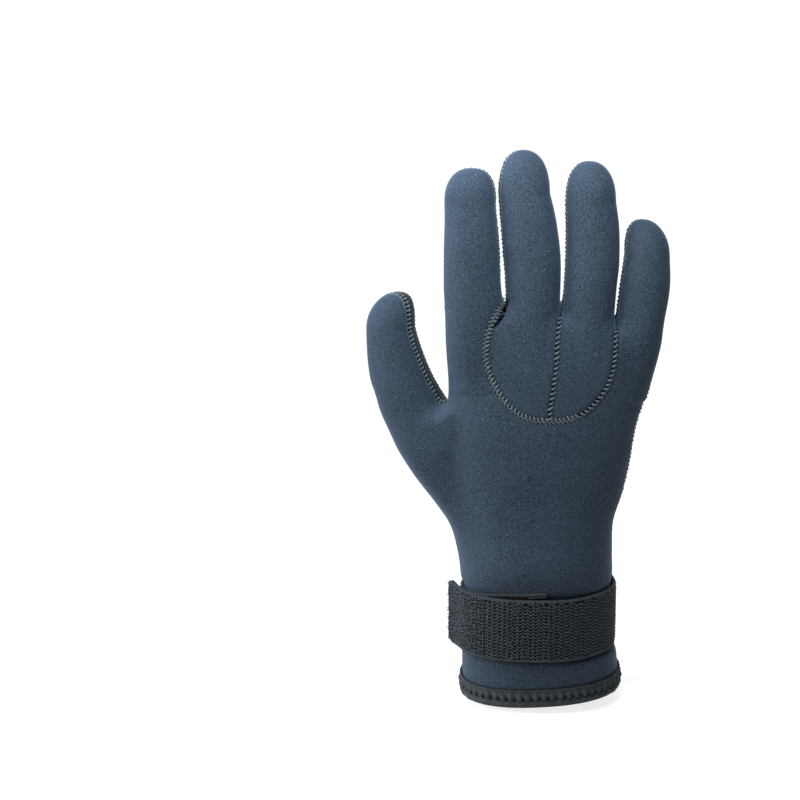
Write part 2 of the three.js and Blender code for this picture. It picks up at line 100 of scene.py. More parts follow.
INDEX_ROWS = table(
    SECTION,
    [
        (158, -30.5, -1.8, 13.0, 14.0), (176, -32.0, -1.8, 14.4, 15.0),
        (190, -33.0, -1.5, 14.8, 14.8), (200, -33.35, -1.0, 14.6, 14.2),
        (212, -34.0, 0.0, 14.2, 13.5), (225, -34.6, 1.6, 13.75, 12.9),
        (240, -35.2, 4.0, 13.05, 12.1), (247, -35.55, 5.2, 12.65, 11.5),
    ],
)

MIDDLE_ROWS = table(
    SECTION,
    [
        (158, -3.6, -2.0, 12.6, 14.4), (176, -4.1, -2.0, 13.6, 15.6),
        (190, -4.3, -1.8, 13.7, 15.4), (200, -4.35, -1.3, 13.75, 14.7),
        (212, -4.5, -0.4, 14.15, 14.0), (225, -5.0, 1.2, 14.3, 13.3),
        (240, -6.75, 3.6, 13.75, 12.6), (253, -8.6, 5.8, 12.8, 11.9),
    ],
)

RING_ROWS = table(
    SECTION,
    [
        (158, 21.0, -2.0, 12.0, 14.0), (176, 22.6, -2.0, 12.8, 15.0),
        (190, 23.2, -1.7, 13.0, 14.8), (200, 23.5, -1.2, 13.2, 14.2),
        (210, 24.15, -0.4, 13.25, 13.6), (220, 24.9, 0.8, 13.6, 13.0),
        (235, 24.95, 3.2, 13.35, 12.3), (249, 23.8, 5.4, 12.4, 11.3),
    ],
)

LITTLE_ROWS = table(
    SECTION,
    [
        (152, 41.0, -1.8, 11.4, 12.6), (168, 45.0, -1.8, 11.8, 13.2),
        (180, 47.3, -1.6, 12.2, 13.2), (190, 48.7, -1.2, 12.3, 12.8),
        (200, 50.15, -0.4, 12.45, 12.2), (210, 51.15, 0.8, 12.15, 11.6),
        (222, 51.8, 2.8, 11.1, 10.6),
    ],
)

THUMB_ROWS = table(
    SECTION,
    [
        (58, -20.0, 2.0, 12.0, 17.0), (72, -24.5, 2.5, 13.8, 19.5), (84, -29.0, 3.4, 14.6, 20.6),
        (97, -37.0, 4.8, 15.6, 20.6), (111, -46.2, 6.6, 17.4, 19.8), (122, -53.2, 8.0, 17.7, 19.0),
        (132, -58.3, 9.4, 17.3, 18.0), (142, -62.4, 10.8, 17.7, 17.0),
        (150, -65.3, 12.0, 17.2, 16.2), (158, -68.8, 13.2, 16.3, 15.4),
        (167, -71.4, 14.6, 14.9, 14.4), (176, -73.3, 16.0, 13.3, 13.4),
        (184, -74.6, 17.4, 12.2, 12.4),
    ],
)

FINE = 0.25  # spacing of the worked-out sections of a limb
FAR = 30.0  # distance given to points well away from a limb
NEAR_MARGIN = 9.0  # how far round a limb the distance is worked out
SEAM_TUCK = 4.8  # how much deeper the side seams lie at the base of a finger
TUCK_START, TUCK_END = 38, 10  # how far below the last section they come out again


def smooth_column(heights, values, at):
    """Values at the heights asked for, on the smooth curve through a table's rows."""
    last = len(heights) - 1
    i = np.clip(np.searchsorted(heights, at, side="left") - 1, 0, last - 1)
    before, after = np.maximum(i - 1, 0), np.minimum(i + 2, last)
    span = heights[i + 1] - heights[i]
    slope1 = (values[i + 1] - values[before]) / (heights[i + 1] - heights[before]) * span
    slope2 = (values[after] - values[i]) / (heights[after] - heights[i]) * span
    t = np.clip((at - heights[i]) / span, 0, 1)
    return (
        (2 * t**3 - 3 * t**2 + 1) * values[i]
        + (t**3 - 2 * t**2 + t) * slope1
        + (3 * t**2 - 2 * t**3) * values[i + 1]
        + (t**3 - t**2) * slope2
    )


def oval_reach(c, s, power):
    """How far a rounded oval of size one reaches out in a direction."""
    return (np.abs(c) ** power + np.abs(s) ** power) ** (-1 / power)


def run_length(steps):
    """The way gone along a line at each of its points."""
    return np.concatenate([[0], np.cumsum(steps)])


class Limb:
    """The trunk, a finger or the thumb: level rounded sections, and a domed tip where there is one."""

    def __init__(self, power, rows, tip=None, seams=(0.0, 0.0), dome=2.3):
        self.power, self.tip, self.seams, self.dome = power, tip, seams, dome
        self.low, self.last = rows["z"][0], rows["z"][-1]
        self.high = tip[2] if tip else self.last
        self.start = self.low - 20
        heights = np.arange(self.start, self.high + 20, FINE)
        columns = [smooth_column(rows["z"], rows[key], heights) for key in SECTION.split()[1:]]
        if tip:
            rise = np.clip((heights - self.last) / (tip[2] - self.last), 0, None)
            columns[0] = columns[0] + (tip[0] - rows["x"][-1]) * rise**2
            columns[1] = columns[1] + (tip[1] - rows["y"][-1]) * rise
        slopes = [np.gradient(column, FINE) for column in columns]
        self.columns = np.stack(columns + slopes, axis=-1)
        reach = columns[2].max() + NEAR_MARGIN
        self.low_x, self.high_x = columns[0].min() - reach, columns[0].max() + reach

    def section(self, z):
        """Middle x and y, half width and half depth at a height, and their slopes."""
        place = np.clip((np.asarray(z, float) - self.start) / FINE, 0, len(self.columns) - 1.001)
        i = place.astype(np.int32)
        part = (place - i)[..., None]
        return np.moveaxis(self.columns[i] * (1 - part) + self.columns[i + 1] * part, -1, 0)

    def distance(self, x, y, z):
        """Nearly the distance to the limb's surface, negative inside it."""
        cx, cy, a, b, dcx, dcy, da, db = self.section(z)
        across, deep = (x - cx) / a, (y - cy) / b
        p = self.power
        side, depth = np.abs(across) + 1e-6, np.abs(deep) + 1e-6
        side_1, depth_1 = side ** (p - 1), depth ** (p - 1)
        u = (side_1 * side + depth_1 * depth) ** (1 / p)
        w = u ** (1 - p)
        grow_x = side_1 * w * np.sign(across)
        grow_y = depth_1 * w * np.sign(deep)
        nearer = 1 / np.maximum(u, 1)  # the slope is read on the surface, also for points far from it
        grad_z = -grow_x * (dcx + across * nearer * da) / a - grow_y * (dcy + deep * nearer * db) / b
        grad_x, grad_y = grow_x / a, grow_y / b
        length = u
        if self.tip:
            rise = np.clip((z - self.last) / (self.high - self.last), 1e-6, None)
            q = self.dome
            length = (u**q + rise**q) ** (1 / q)
            share = (u / length) ** (q - 1)
            grad_x, grad_y = grad_x * share, grad_y * share
            grad_z = grad_z * share + (rise / length) ** (q - 1) / (self.high - self.last)
        found = (length - 1) / np.sqrt(grad_x**2 + grad_y**2 + grad_z**2)
        return np.maximum(found, self.low - z if self.tip else z - self.last)

    def distance_near(self, x, y, z):
        """The distance, worked out only for points near the limb."""
        near = (x > self.low_x) & (x < self.high_x) & (z > self.low - 3) & (z < self.high + NEAR_MARGIN)
        found = np.full(x.shape, FAR)
        if near.any():
            found[near] = self.distance(x[near], y[near], z[near])
        return found

    def palm_side_edges(self, z):
        """Where the two side seams lie at a height: x and depth on the thumb side, then the other."""
        cx, _, a, *_ = self.section(min(z, self.last))
        cy = self.section(min(z, self.high))[1]
        tuck = SEAM_TUCK * (1 - between(self.last - TUCK_START, self.last - TUCK_END, z))
        left, right = (cy + depth + (tuck if -5 < depth < 0 else 0) for depth in self.seams)
        return (cx - a, left), (cx + a, right)


TRUNK = Limb(2.3, TRUNK_ROWS)
INDEX = Limb(2.2, INDEX_ROWS, (-34.4, 8.0, 265.0), (8.0, -2.6), 2.5)
MIDDLE = Limb(2.2, MIDDLE_ROWS, (-9.4, 8.5, 273.9), (-2.6, 10.0))
RING = Limb(2.2, RING_ROWS, (23.4, 8.0, 268.4), (-2.4, 12.0))
LITTLE = Limb(2.2, LITTLE_ROWS, (49.9, 6.6, 240.0), (-2.4, 14.5))
THUMB = Limb(2.1, THUMB_ROWS, (-71.2, 21.0, 201.4), (15.0, -12.0))
FINGERS = (INDEX, MIDDLE, RING, LITTLE)

FINGER_BLEND = 0.7  # how far the surfaces of two neighbours melt together
WEB_BLEND = 3.0
THUMB_BLEND = 6.0

SOFT_FORMS = (
    # Folds, ridges and hollows: middle x, y and z, reach in x, y and z, lift
    (-47.0, -2, 145.2, 4.5, 14, 4, 2.9),
    (-50, -10, 142.5, 5, 10, 4.5, 1.9),
    (-46, -9, 137.5, 4, 12, 5, 1.6),
    (-53.5, -10, 140, 6.5, 12, 7, 2.2),
    (-47, -11, 128.5, 7, 10, 9, 2.0),
    (-49.5, -13, 136, 6, 10, 9, 1.6),
    (-15.6, -16, 194.0, 2.8, 6, 6.0, 1.2),
    (10.0, -15, 197.5, 1.3, 8, 5, -2.2),
    (36.7, -13, 191, 1.3, 8, 4, -2.2),
    (-20, -24, 120, 14, 10, 20, 0.5),
)
RIPPLES = (
    # Phase in a millimetre of x, y and z, phase at the start, lift
    (0.11, 0.05, 0.09, 0.4, 0.16),
    (-0.07, 0.12, 0.13, 2.1, 0.13),
    (0.17, -0.09, 0.05, 4.4, 0.09),
    (0.05, 0.03, 0.23, 1.2, 0.07),
)
RIPPLE_START, RIPPLE_GROWTH = 62, 25  # the strap holds the cuff smooth below this height


def blend(one, other, reach):
    """The nearer of two surfaces, melted together where they are close to each other."""
    overlap = np.maximum(reach - np.abs(one - other), 0)
    return np.minimum(one, other) - overlap**2 / (4 * reach)


def outer_distance(x, y, z):
    """Distance to the glove's outer surface, without its seams, negative inside."""
    hand = TRUNK.distance_near(x, y, z)
    bundle = None
    for finger in FINGERS:
        near = finger.distance_near(x, y, z)
        bundle = near if bundle is None else blend(bundle, near, FINGER_BLEND)
    hand = blend(hand, bundle, WEB_BLEND)
    hand = blend(hand, THUMB.distance_near(x, y, z), THUMB_BLEND)
    for at_x, at_y, at_z, reach_x, reach_y, reach_z, lift in SOFT_FORMS:
        away = ((x - at_x) / reach_x) ** 2 + ((y - at_y) / reach_y) ** 2 + ((z - at_z) / reach_z) ** 2
        hand = hand - lift * np.exp(-away)
    loose = np.clip((z - RIPPLE_START) / RIPPLE_GROWTH, 0, 1)
    for turn_x, turn_y, turn_z, start, lift in RIPPLES:
        phase = x * turn_x + y * turn_y + z * turn_z
        hand = hand - lift * loose * np.sin(phase + start)
    return hand


# The seams that divide the neoprene into panels

THUMB_WEB_X = -48.0
PALM_EDGES = table(
    "z thumb_side little_side",
    [
        (60, 5, -3), (90, 5, -6), (105, 5, -7.4), (135, 5, -7), (150, 5, -5.4), (160, 5, -3.0),
        (170, 5, 0.8), (186, 5, 5.5), (200, 5, 8),
    ],
)
HEEL_SEAM = table(
    "x z",
    [
        (-130, 114), (-66, 112), (-54, 106), (-42, 98), (-30, 90.5), (-18, 84.5), (-4, 81),
        (12, 80), (28, 81.5), (40, 85), (130, 85),
    ],
)
KNUCKLE_SEAM = table(
    "x z",
    [
        (-18.0, 201.5), (-21.2, 198), (-24.4, 193), (-26.8, 187.5), (-28.2, 181.2), (-28.0, 173.2),
        (-26.2, 166.4), (-22.6, 158.6), (-17.2, 151.6), (-10.8, 146.6), (-3.6, 144.4),
        (4.0, 144.0), (10.6, 144.4), (16.4, 145.8), (22.2, 149.2), (27.8, 154.6), (31.8, 160.6),
        (34.0, 166.4), (35.2, 172.4), (35.5, 178.4), (35.6, 185.0), (36.8, 191.5),
    ],
)
CENTRE_SEAM = table(
    "x z",
    [
        (10.0, 199.5), (8.4, 193), (7.2, 186), (6.8, 178.7), (6.6, 171.7), (5.8, 165.2),
        (5.0, 158.7), (3.9, 152.2), (3.4, 144.0),
    ],
)
ABOVE_TIPS = 292.0
GAP_HEIGHTS = (206, 216, 228, 240, 247, 254, ABOVE_TIPS)
# Heights over which the palm's side seams turn into those of the outer fingers
TO_INDEX, TO_LITTLE = (178, 192), (182, 214)
DEPTH_STEP_X, DEPTH_STEP_Z, OUTLINE_STEP = 0.4, 0.8, 0.5  # of the maps over x and z
HEEL_SOFTNESS = 8  # in steps of the map


def between(low, high, value):
    """Smooth step from 0 to 1."""
    t = np.clip((value - low) / (high - low), 0, 1)
    return t * t * (3 - 2 * t)


def seam_line(z):
    """Depth of the side seams right across the glove at a height, as places and depths."""
    places, depths = [], []

    def step(x, before, after):
        places.extend([x - 0.05, x + 0.05])
        depths.extend([before, after])

    (outer_x, outer_y), (inner_x, inner_y) = THUMB.palm_side_edges(z)
    outer_x, inner_x = min(outer_x, THUMB_WEB_X - 2), min(inner_x, THUMB_WEB_X - 1)
    edges = [finger.palm_side_edges(z) for finger in FINGERS]
    in_fingers = between(*TO_INDEX, z)
    first_x = max(edges[0][0][0], THUMB_WEB_X)
    palm_z = PALM_EDGES["z"]
    first = smooth_column(palm_z, PALM_EDGES["thumb_side"], z) * (1 - in_fingers)
    first += edges[0][0][1] * in_fingers
    on_little = between(*TO_LITTLE, z)
    final = smooth_column(palm_z, PALM_EDGES["little_side"], z) * (1 - on_little)
    final += edges[3][1][1] * on_little
    places += [-130, outer_x, inner_x]
    depths += [outer_y, outer_y, inner_y]
    step((inner_x + first_x) / 2, inner_y, first)
    for i, ((left_x, left_y), (right_x, right_y)) in enumerate(edges):
        left_y = first if i == 0 else left_y
        right_y = final if i == 3 else right_y
        if i > 0:
            before_x, before_y = edges[i - 1][1]
            step((before_x + left_x) / 2, before_y, left_y)
        places.append((left_x + right_x) / 2)
        depths.append((left_y + right_y) / 2)
    places += [edges[3][1][0], 130]
    depths += [final, final]
    return places, depths


def softened(values, spread, axis):
    """Values blurred along one axis, by a spread in cells."""
    reach = int(math.ceil(3 * spread))
    weights = np.exp(-0.5 * (np.arange(-reach, reach + 1) / spread) ** 2)
    weights /= weights.sum()
    pad = [(0, 0), (0, 0)]
    pad[axis] = (reach, reach)
    wide = np.pad(values, pad, mode="edge")
    out = np.zeros_like(values)
    size = values.shape[axis]
    for i, weight in enumerate(weights):
        out += weight * (wide[i : i + size] if axis == 0 else wide[:, i : i + size])
    return out


class FrontMap:
    """Values on a grid over x and z, read with smooth steps between its points."""

    def __init__(self, xs, zs, values):
        self.x0, self.z0 = xs[0], zs[0]
        self.step_x, self.step_z = xs[1] - xs[0], zs[1] - zs[0]
        self.values = values

    def at(self, x, z):
        i = np.clip((x - self.x0) / self.step_x, 0, self.values.shape[0] - 1.001)
        k = np.clip((z - self.z0) / self.step_z, 0, self.values.shape[1] - 1.001)
        i0, k0 = i.astype(np.int32), k.astype(np.int32)
        fi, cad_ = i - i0, k - k0
        v = self.values
        low = v[i0, k0] * (1 - fi) + v[i0 + 1, k0] * fi
        high = v[i0, k0 + 1] * (1 - fi) + v[i0 + 1, k0 + 1] * fi
        return low * (1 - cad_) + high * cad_


def palm_maps():
    """Depth of the side seams and how steeply it changes, over x and z."""
    xs, zs = np.arange(-110, 90, DEPTH_STEP_X), np.arange(50, ABOVE_TIPS, DEPTH_STEP_Z)
    depth = np.stack([np.interp(xs, *seam_line(z)) for z in zs], axis=1)
    depth = softened(softened(depth, 1.6, 0), 2.0, 1)
    slope_x, slope_z = np.gradient(depth, DEPTH_STEP_X, DEPTH_STEP_Z)
    steep = np.sqrt(1 + slope_x**2 + slope_z**2)
    heel = np.interp(xs, HEEL_SEAM["x"], HEEL_SEAM["z"])[:, None]
    heel = softened(heel, HEEL_SOFTNESS, 0)[:, 0]
    heel_steep = np.sqrt(1 + np.gradient(heel, DEPTH_STEP_X) ** 2)
    above = (zs[None, :] - heel[:, None]) / heel_steep[:, None]
    return FrontMap(xs, zs, depth), FrontMap(xs, zs, steep), FrontMap(xs, zs, above)


SEAM_DEPTH, SEAM_STEEPNESS, ABOVE_HEEL = palm_maps()


def gap_line(left, right):
    """Middle of the gap between two neighbouring fingers, from their web up past their tips."""
    return [
        ((left.palm_side_edges(z)[1][0] + right.palm_side_edges(z)[0][0]) / 2, z)
        for z in GAP_HEIGHTS
    ]


def knuckle_outlines():
    """The front outlines of the middle and ring finger panels, and of both together."""
    u = list(zip(KNUCKLE_SEAM["x"], KNUCKLE_SEAM["z"]))
    centre = list(zip(CENTRE_SEAM["x"], CENTRE_SEAM["z"]))
    turn = next(i for i, (x, _) in enumerate(u) if x > centre[-1][0])
    middle = u[:turn] + centre[::-1] + gap_line(MIDDLE, RING) + gap_line(INDEX, MIDDLE)[::-1]
    ring = gap_line(RING, LITTLE) + gap_line(MIDDLE, RING)[::-1] + centre + u[turn:]
    both = u + gap_line(RING, LITTLE) + gap_line(INDEX, MIDDLE)[::-1]
    return middle, ring, both


def outline_map(outline):
    """Distance to a closed front outline, positive inside it, as a map."""
    xs, zs = np.arange(-60, 70, OUTLINE_STEP), np.arange(130, ABOVE_TIPS + 4, OUTLINE_STEP)
    x, z = np.meshgrid(xs, zs, indexing="ij")
    nearest = np.full(x.shape, 1e9)
    inside = np.zeros(x.shape, bool)
    for (x1, z1), (x2, z2) in zip(outline, outline[1:] + outline[:1]):
        dx, dz = x2 - x1, z2 - z1
        t = np.clip(((x - x1) * dx + (z - z1) * dz) / (dx * dx + dz * dz + 1e-12), 0, 1)
        nearest = np.minimum(nearest, (x - x1 - t * dx) ** 2 + (z - z1 - t * dz) ** 2)
        if z1 != z2:
            crosses = ((z1 > z) != (z2 > z)) & (x < (x2 - x1) * (z - z1) / (z2 - z1) + x1)
            inside ^= crosses
    signed = np.sqrt(nearest) * np.where(inside, 1, -1)
    return FrontMap(xs, zs, softened(softened(signed, 1, 0), 1, 1))


IN_MIDDLE, IN_RING, IN_KNUCKLES = (outline_map(outline) for outline in knuckle_outlines())


def palm_reach(x, y, z):
    """How far inside the grip panel's outline a point lies, negative outside it."""
    beside = (y - SEAM_DEPTH.at(x, z)) / SEAM_STEEPNESS.at(x, z)
    return np.minimum(beside, ABOVE_HEEL.at(x, z))


FOLD_DEPTH = 5.0
FOLD_EDGE = 0.7  # half the width over which its side dips
FOLD_BOTTOM, FOLD_TOP = (188.5, 192), (199.5, 203)  # heights over which it begins and ends
FOLD = table(
    "z width",
    [
        (188, 2.6), (190.5, 3.2), (193, 3.7), (195.5, 3.8), (198, 2.9), (200, 1.9), (203, 1.2),
    ],
)


def folded_in(name, x, y, z):
    """How far a panel is folded in: the middle one dips beside the upper end of the knuckle seam."""
    if name != "middle":
        return 0.0
    wide = np.interp(z, FOLD["z"], FOLD["width"])
    across = 1 - between(wide - FOLD_EDGE, wide + FOLD_EDGE, IN_KNUCKLES.at(x, z))
    here = (x < -10) & (y < -2)  # the index finger's side of the back
    return FOLD_DEPTH * across * between(*FOLD_BOTTOM, z) * (1 - between(*FOLD_TOP, z)) * here


def panel_reach(name, x, y, z):
    """How far inside a panel's outline a point lies."""
    palm = palm_reach(x, y, z)
    if name == "palm":
        return palm
    middle, ring = IN_MIDDLE.at(x, z), IN_RING.at(x, z)
    if name == "middle":
        return np.minimum(-palm, middle)
    if name == "ring":
        return np.minimum(-palm, ring)
    return np.minimum(-palm, -IN_KNUCKLES.at(x, z))


# Meshes


def surface_net(values, origin, step):
    """Points and four-sided faces of the surface where a grid of values crosses zero."""
    inside = values < 0
    nx, ny, nz = values.shape
    count = np.zeros((nx - 1, ny - 1, nz - 1), np.int8)
    corners = [(i, j, k) for i in (0, 1) for j in (0, 1) for k in (0, 1)]
    for i, j, k in corners:
        count += inside[i : nx - 1 + i, j : ny - 1 + j, k : nz - 1 + k]
    cells = np.argwhere((count > 0) & (count < 8)).astype(np.int32)
    at = {c: values[cells[:, 0] + c[0], cells[:, 1] + c[1], cells[:, 2] + c[2]] for c in corners}
    total = np.zeros((len(cells), 3))
    hits = np.zeros(len(cells))
    for axis in range(3):
        for c in corners:
            if c[axis]:
                continue
            d = tuple(1 if n == axis else c[n] for n in range(3))
            low, high = at[c], at[d]
            crossed = (low < 0) != (high < 0)
            part = np.where(crossed, low / np.where(crossed, low - high, 1), 0)
            for n in range(3):
                total[:, n] += np.where(crossed, c[n] + (part if n == axis else 0), 0)
            hits += crossed
    points = (cells + total / hits[:, None]) * step + np.array(origin)
    number = np.full(count.shape, -1, np.int32)
    number[cells[:, 0], cells[:, 1], cells[:, 2]] = np.arange(len(cells))
    faces = []
    for axis in range(3):
        low = [slice(0, n) for n in (nx, ny, nz)]
        high = [slice(0, n) for n in (nx, ny, nz)]
        low[axis], high[axis] = slice(0, -1), slice(1, None)
        a, b = inside[tuple(low)], inside[tuple(high)]
        edges = np.argwhere(a != b).astype(np.int32)
        u, v = (axis + 1) % 3, (axis + 2) % 3
        limit = np.array(count.shape)
        keep = (edges[:, u] > 0) & (edges[:, v] > 0)
        keep &= (edges[:, u] < limit[u]) & (edges[:, v] < limit[v])
        edges = edges[keep]
        quad = []
        for du, dv in ((0, 0), (-1, 0), (-1, -1), (0, -1)):
            cell = edges.copy()
            cell[:, u] += du
            cell[:, v] += dv
            quad.append(number[cell[:, 0], cell[:, 1], cell[:, 2]])
        quad = np.stack(quad, axis=1)
        outward = a[edges[:, 0], edges[:, 1], edges[:, 2]]
        faces.append(np.where(outward[:, None], quad, quad[:, ::-1]))
    return points, np.concatenate(faces)


def surface_of(distance, low, high, step):
    """The surface inside a box where a distance is zero, as points and four-sided faces."""
    axes = [np.arange(a, b + step, step) for a, b in zip(low, high)]
    values = np.empty([len(a) for a in axes])
    x, y = (a.ravel() for a in np.meshgrid(axes[0], axes[1], indexing="ij"))
    for k, z in enumerate(axes[2]):
        values[:, :, k] = distance(x, y, np.full(x.shape, z)).reshape(values.shape[:2])
    return surface_net(values, low, step)


def drawn_to(points, distance, limit, rounds=3):
    """Points moved onto the surface where a distance is zero."""
    h = 0.04
    for _ in range(rounds):
        x, y, z = points.T
        here = distance(x, y, z)
        slope = np.stack(
            [distance(x + h, y, z) - here, distance(x, y + h, z) - here, distance(x, y, z + h) - here],
            axis=1,
        ) / h
        size = np.maximum((slope**2).sum(axis=1), 0.05)
        move = slope * (here / size)[:, None]
        length = np.linalg.norm(move, axis=1)
        move *= np.minimum(1, limit / np.maximum(length, 1e-9))[:, None]
        points = points - move
    return points


def outward_at(points, distance):
    """Unit vectors that point out of the surface at some points."""
    h = 0.05
    x, y, z = points.T
    slope = np.stack(
        [
            distance(x + h, y, z) - distance(x - h, y, z),
            distance(x, y + h, z) - distance(x, y - h, z),
            distance(x, y, z + h) - distance(x, y, z - h),
        ],
        axis=1,
    )
    return slope / np.maximum(np.linalg.norm(slope, axis=1), 1e-9)[:, None]


def largest_part(points, faces):
    """The largest connected part of a mesh, without stray crumbs."""
    label = np.arange(len(points))
    while True:
        lowest = label[faces].min(axis=1)
        new = label.copy()
        for k in range(faces.shape[1]):
            np.minimum.at(new, faces[:, k], lowest)
        new = new[new]
        if (new == label).all():
            break
        label = new
    names, sizes = np.unique(label, return_counts=True)
    keep = label == names[sizes.argmax()]
    number = np.cumsum(keep) - 1
    return points[keep], number[faces[keep[faces[:, 0]]]]


def added(name, data):
    """A new object in the scene, from its mesh, camera or light."""
    thing = bpy.data.objects.new(name, data)
    bpy.context.scene.collection.objects.link(thing)
    return thing


def add_piece(name, points, faces, material, sharp=None):
    """A new object from millimetre points, with smooth shading and its material."""
    mesh = bpy.data.meshes.new(name)
    mesh.vertices.add(len(points))
    mesh.vertices.foreach_set("co", (np.asarray(points) * MM).astype(np.float32).ravel())
    groups = faces if isinstance(faces, list) else [faces]
    corners = np.concatenate([np.asarray(g).ravel() for g in groups])
    starts, at = [], 0
    for g in groups:
        n, k = np.asarray(g).shape
        starts.append(at + np.arange(n) * k)
        at += n * k
    starts = np.concatenate(starts)
    mesh.loops.add(len(corners))
    mesh.loops.foreach_set("vertex_index", corners.astype(np.int32))
    mesh.polygons.add(len(starts))
    mesh.polygons.foreach_set("loop_start", starts.astype(np.int32))
    mesh.update(calc_edges=True)
    mesh.validate()
    mesh.polygons.foreach_set("use_smooth", np.ones(len(mesh.polygons), bool))
    if sharp is not None:
        mesh.set_sharp_from_angle(angle=sharp)
    mesh.materials.append(material)
    return added(name, mesh)


def contour_lines(points, triangles, values):
    """Lines on a mesh where its values cross zero, each as ordered points, with whether it closes."""
    above = values > 0
    mixed = triangles[above[triangles].any(axis=1) & ~above[triangles].all(axis=1)]
    links, places = {}, {}
    for tri in mixed.tolist():
        ends = []
        for p, q in ((tri[0], tri[1]), (tri[1], tri[2]), (tri[2], tri[0])):
            if above[p] != above[q]:
                key = (min(p, q), max(p, q))
                if key not in places:
                    share = values[key[0]] / (values[key[0]] - values[key[1]])
                    places[key] = points[key[0]] * (1 - share) + points[key[1]] * share
                ends.append(key)
        links.setdefault(ends[0], []).append(ends[1])
        links.setdefault(ends[1], []).append(ends[0])
    lines = []
    loose = set(links)
    starts = [key for key in links if len(links[key]) == 1] + list(links)
    for start in starts:
        if start not in loose:
            continue
        line, here = [start], start
        loose.discard(start)
        while True:
            ahead = [key for key in links[here] if key in loose]
            if not ahead:
                break
            here = ahead[0]
            loose.discard(here)
            line.append(here)
        closed = len(line) > 3 and start in links[here]
        lines.append((np.array([places[key] for key in line]), closed))
    return lines


def even_line(points, spacing, closed, smooth=2):
    """A line with points at even spacing, lightly smoothed."""
    for _ in range(smooth):
        if closed:
            points = (np.roll(points, 1, 0) + 2 * points + np.roll(points, -1, 0)) / 4
        else:
            inner = (points[:-2] + 2 * points[1:-1] + points[2:]) / 4
            points = np.concatenate([points[:1], inner, points[-1:]])
    ring = np.concatenate([points, points[:1]]) if closed else points
    along = run_length(np.linalg.norm(np.diff(ring, axis=0), axis=1))
    count = max(int(round(along[-1] / spacing)), 2)
    at = np.linspace(0, along[-1], count + 1)
    if closed:
        at = at[:-1]
    return np.stack([np.interp(at, along, ring[:, k]) for k in range(3)], axis=1)


def kept_runs(points, closed, keep, shortest):
    """The stretches of a line where keep holds, as open lines, or the whole loop if it all holds."""
    if keep.all():
        return [(points, closed)]
    if closed:
        first = int(np.argmin(keep))
        points, keep = np.roll(points, -first, 0), np.roll(keep, -first)
    runs, start = [], None
    for i, good in enumerate(list(keep) + [False]):
        if good and start is None:
            start = i
        if not good and start is not None:
            if i - start >= shortest:
                runs.append((points[start:i], False))
            start = None
    return runs


# Node trees


def named(key):
    """The name of a socket, from a keyword."""
    return key.replace("_", " ").title()


class Nodes:
    """Adds nodes to a tree, and sets or links their inputs."""

    def __init__(self, tree):
        self.tree = tree

    def add(self, kind, inputs=None, **settings):
        node = self.tree.nodes.new(kind)
        for key, value in settings.items():
            setattr(node, key, value)
        for key, value in (inputs or {}).items():
            self.give(node.inputs[key], value)
        return node

    def give(self, socket, value):
        if isinstance(value, bpy.types.NodeSocket):
            self.tree.links.new(value, socket)
        else:
            socket.default_value = value

    def math(self, operation, a, b=0.0):
        return self.add("ShaderNodeMath", {0: a, 1: b}, operation=operation).outputs[0]

    def times(self, a, b):
        return self.math("MULTIPLY", a, b)

    def plus(self, a, b):
        return self.math("ADD", a, b)

    def xyz(self, x=0.0, y=0.0, z=0.0):
        return self.add("ShaderNodeCombineXYZ", {0: x, 1: y, 2: z}).outputs[0]


def growth_tree(name, material, **sizes):
    """A geometry node tree with an input for each size, share or count, and for the material."""
    tree = bpy.data.node_groups.new(name, "GeometryNodeTree")
    tree.interface.new_socket("Geometry", in_out="INPUT", socket_type="NodeSocketGeometry")
    for key, value in sizes.items():
        kind = "NodeSocketInt" if isinstance(value, int) else "NodeSocketFloat"
        socket = tree.interface.new_socket(named(key), in_out="INPUT", socket_type=kind)
        socket.default_value = value
    tree.interface.new_socket(material, in_out="INPUT", socket_type="NodeSocketMaterial")
    tree.interface.new_socket("Geometry", in_out="OUTPUT", socket_type="NodeSocketGeometry")
    nodes = Nodes(tree)
    return nodes, nodes.add("NodeGroupInput").outputs


def named_vector(nodes, name):
    """A vector attribute of the guide, by name."""
    node = nodes.add("GeometryNodeInputNamedAttribute", data_type="FLOAT_VECTOR")
    node.inputs["Name"].default_value = name
    return next(o for o in node.outputs if o.enabled and o.name == "Attribute")


def facing(nodes, along, outward):
    """A rotation whose X runs along one vector and whose Z points along another."""
    first = nodes.add("FunctionNodeAlignRotationToVector", {"Vector": along}, axis="X")
    second = nodes.add(
        "FunctionNodeAlignRotationToVector",
        {"Rotation": first.outputs[0], "Vector": outward},
        axis="Z",
        pivot_axis="X",
    )
    return second.outputs[0]


def finished_tree(nodes, instances, material):
    """Ends a tree with real geometry, smooth shading and the material."""
    real = nodes.add("GeometryNodeRealizeInstances", {"Geometry": instances}).outputs[0]
    smooth = nodes.add("GeometryNodeSetShadeSmooth", {"Geometry": real}).outputs[0]
    painted = nodes.add("GeometryNodeSetMaterial", {"Geometry": smooth, "Material": material})
    nodes.add("NodeGroupOutput", {0: painted.outputs[0]})
    return nodes.tree


def tube_along(nodes, curve, radius, sides):
    """A closed round tube along a curve."""
    size = {"Resolution": sides, "Radius": radius}
    ring = nodes.add("GeometryNodeCurvePrimitiveCircle", size).outputs[0]
    return nodes.add(
        "GeometryNodeCurveToMesh", {"Curve": curve, "Profile Curve": ring, "Fill Caps": True}
    ).outputs[0]


def bent_bar(nodes, start, middle, end, radius, steps, sides):
    """A short thread from one point to another, bowed towards a third."""
    curve = nodes.add(
        "GeometryNodeCurveQuadraticBezier",
        {"Resolution": steps, "Start": start, "Middle": middle, "End": end},
    ).outputs[0]
    return tube_along(nodes, curve, radius, sides)


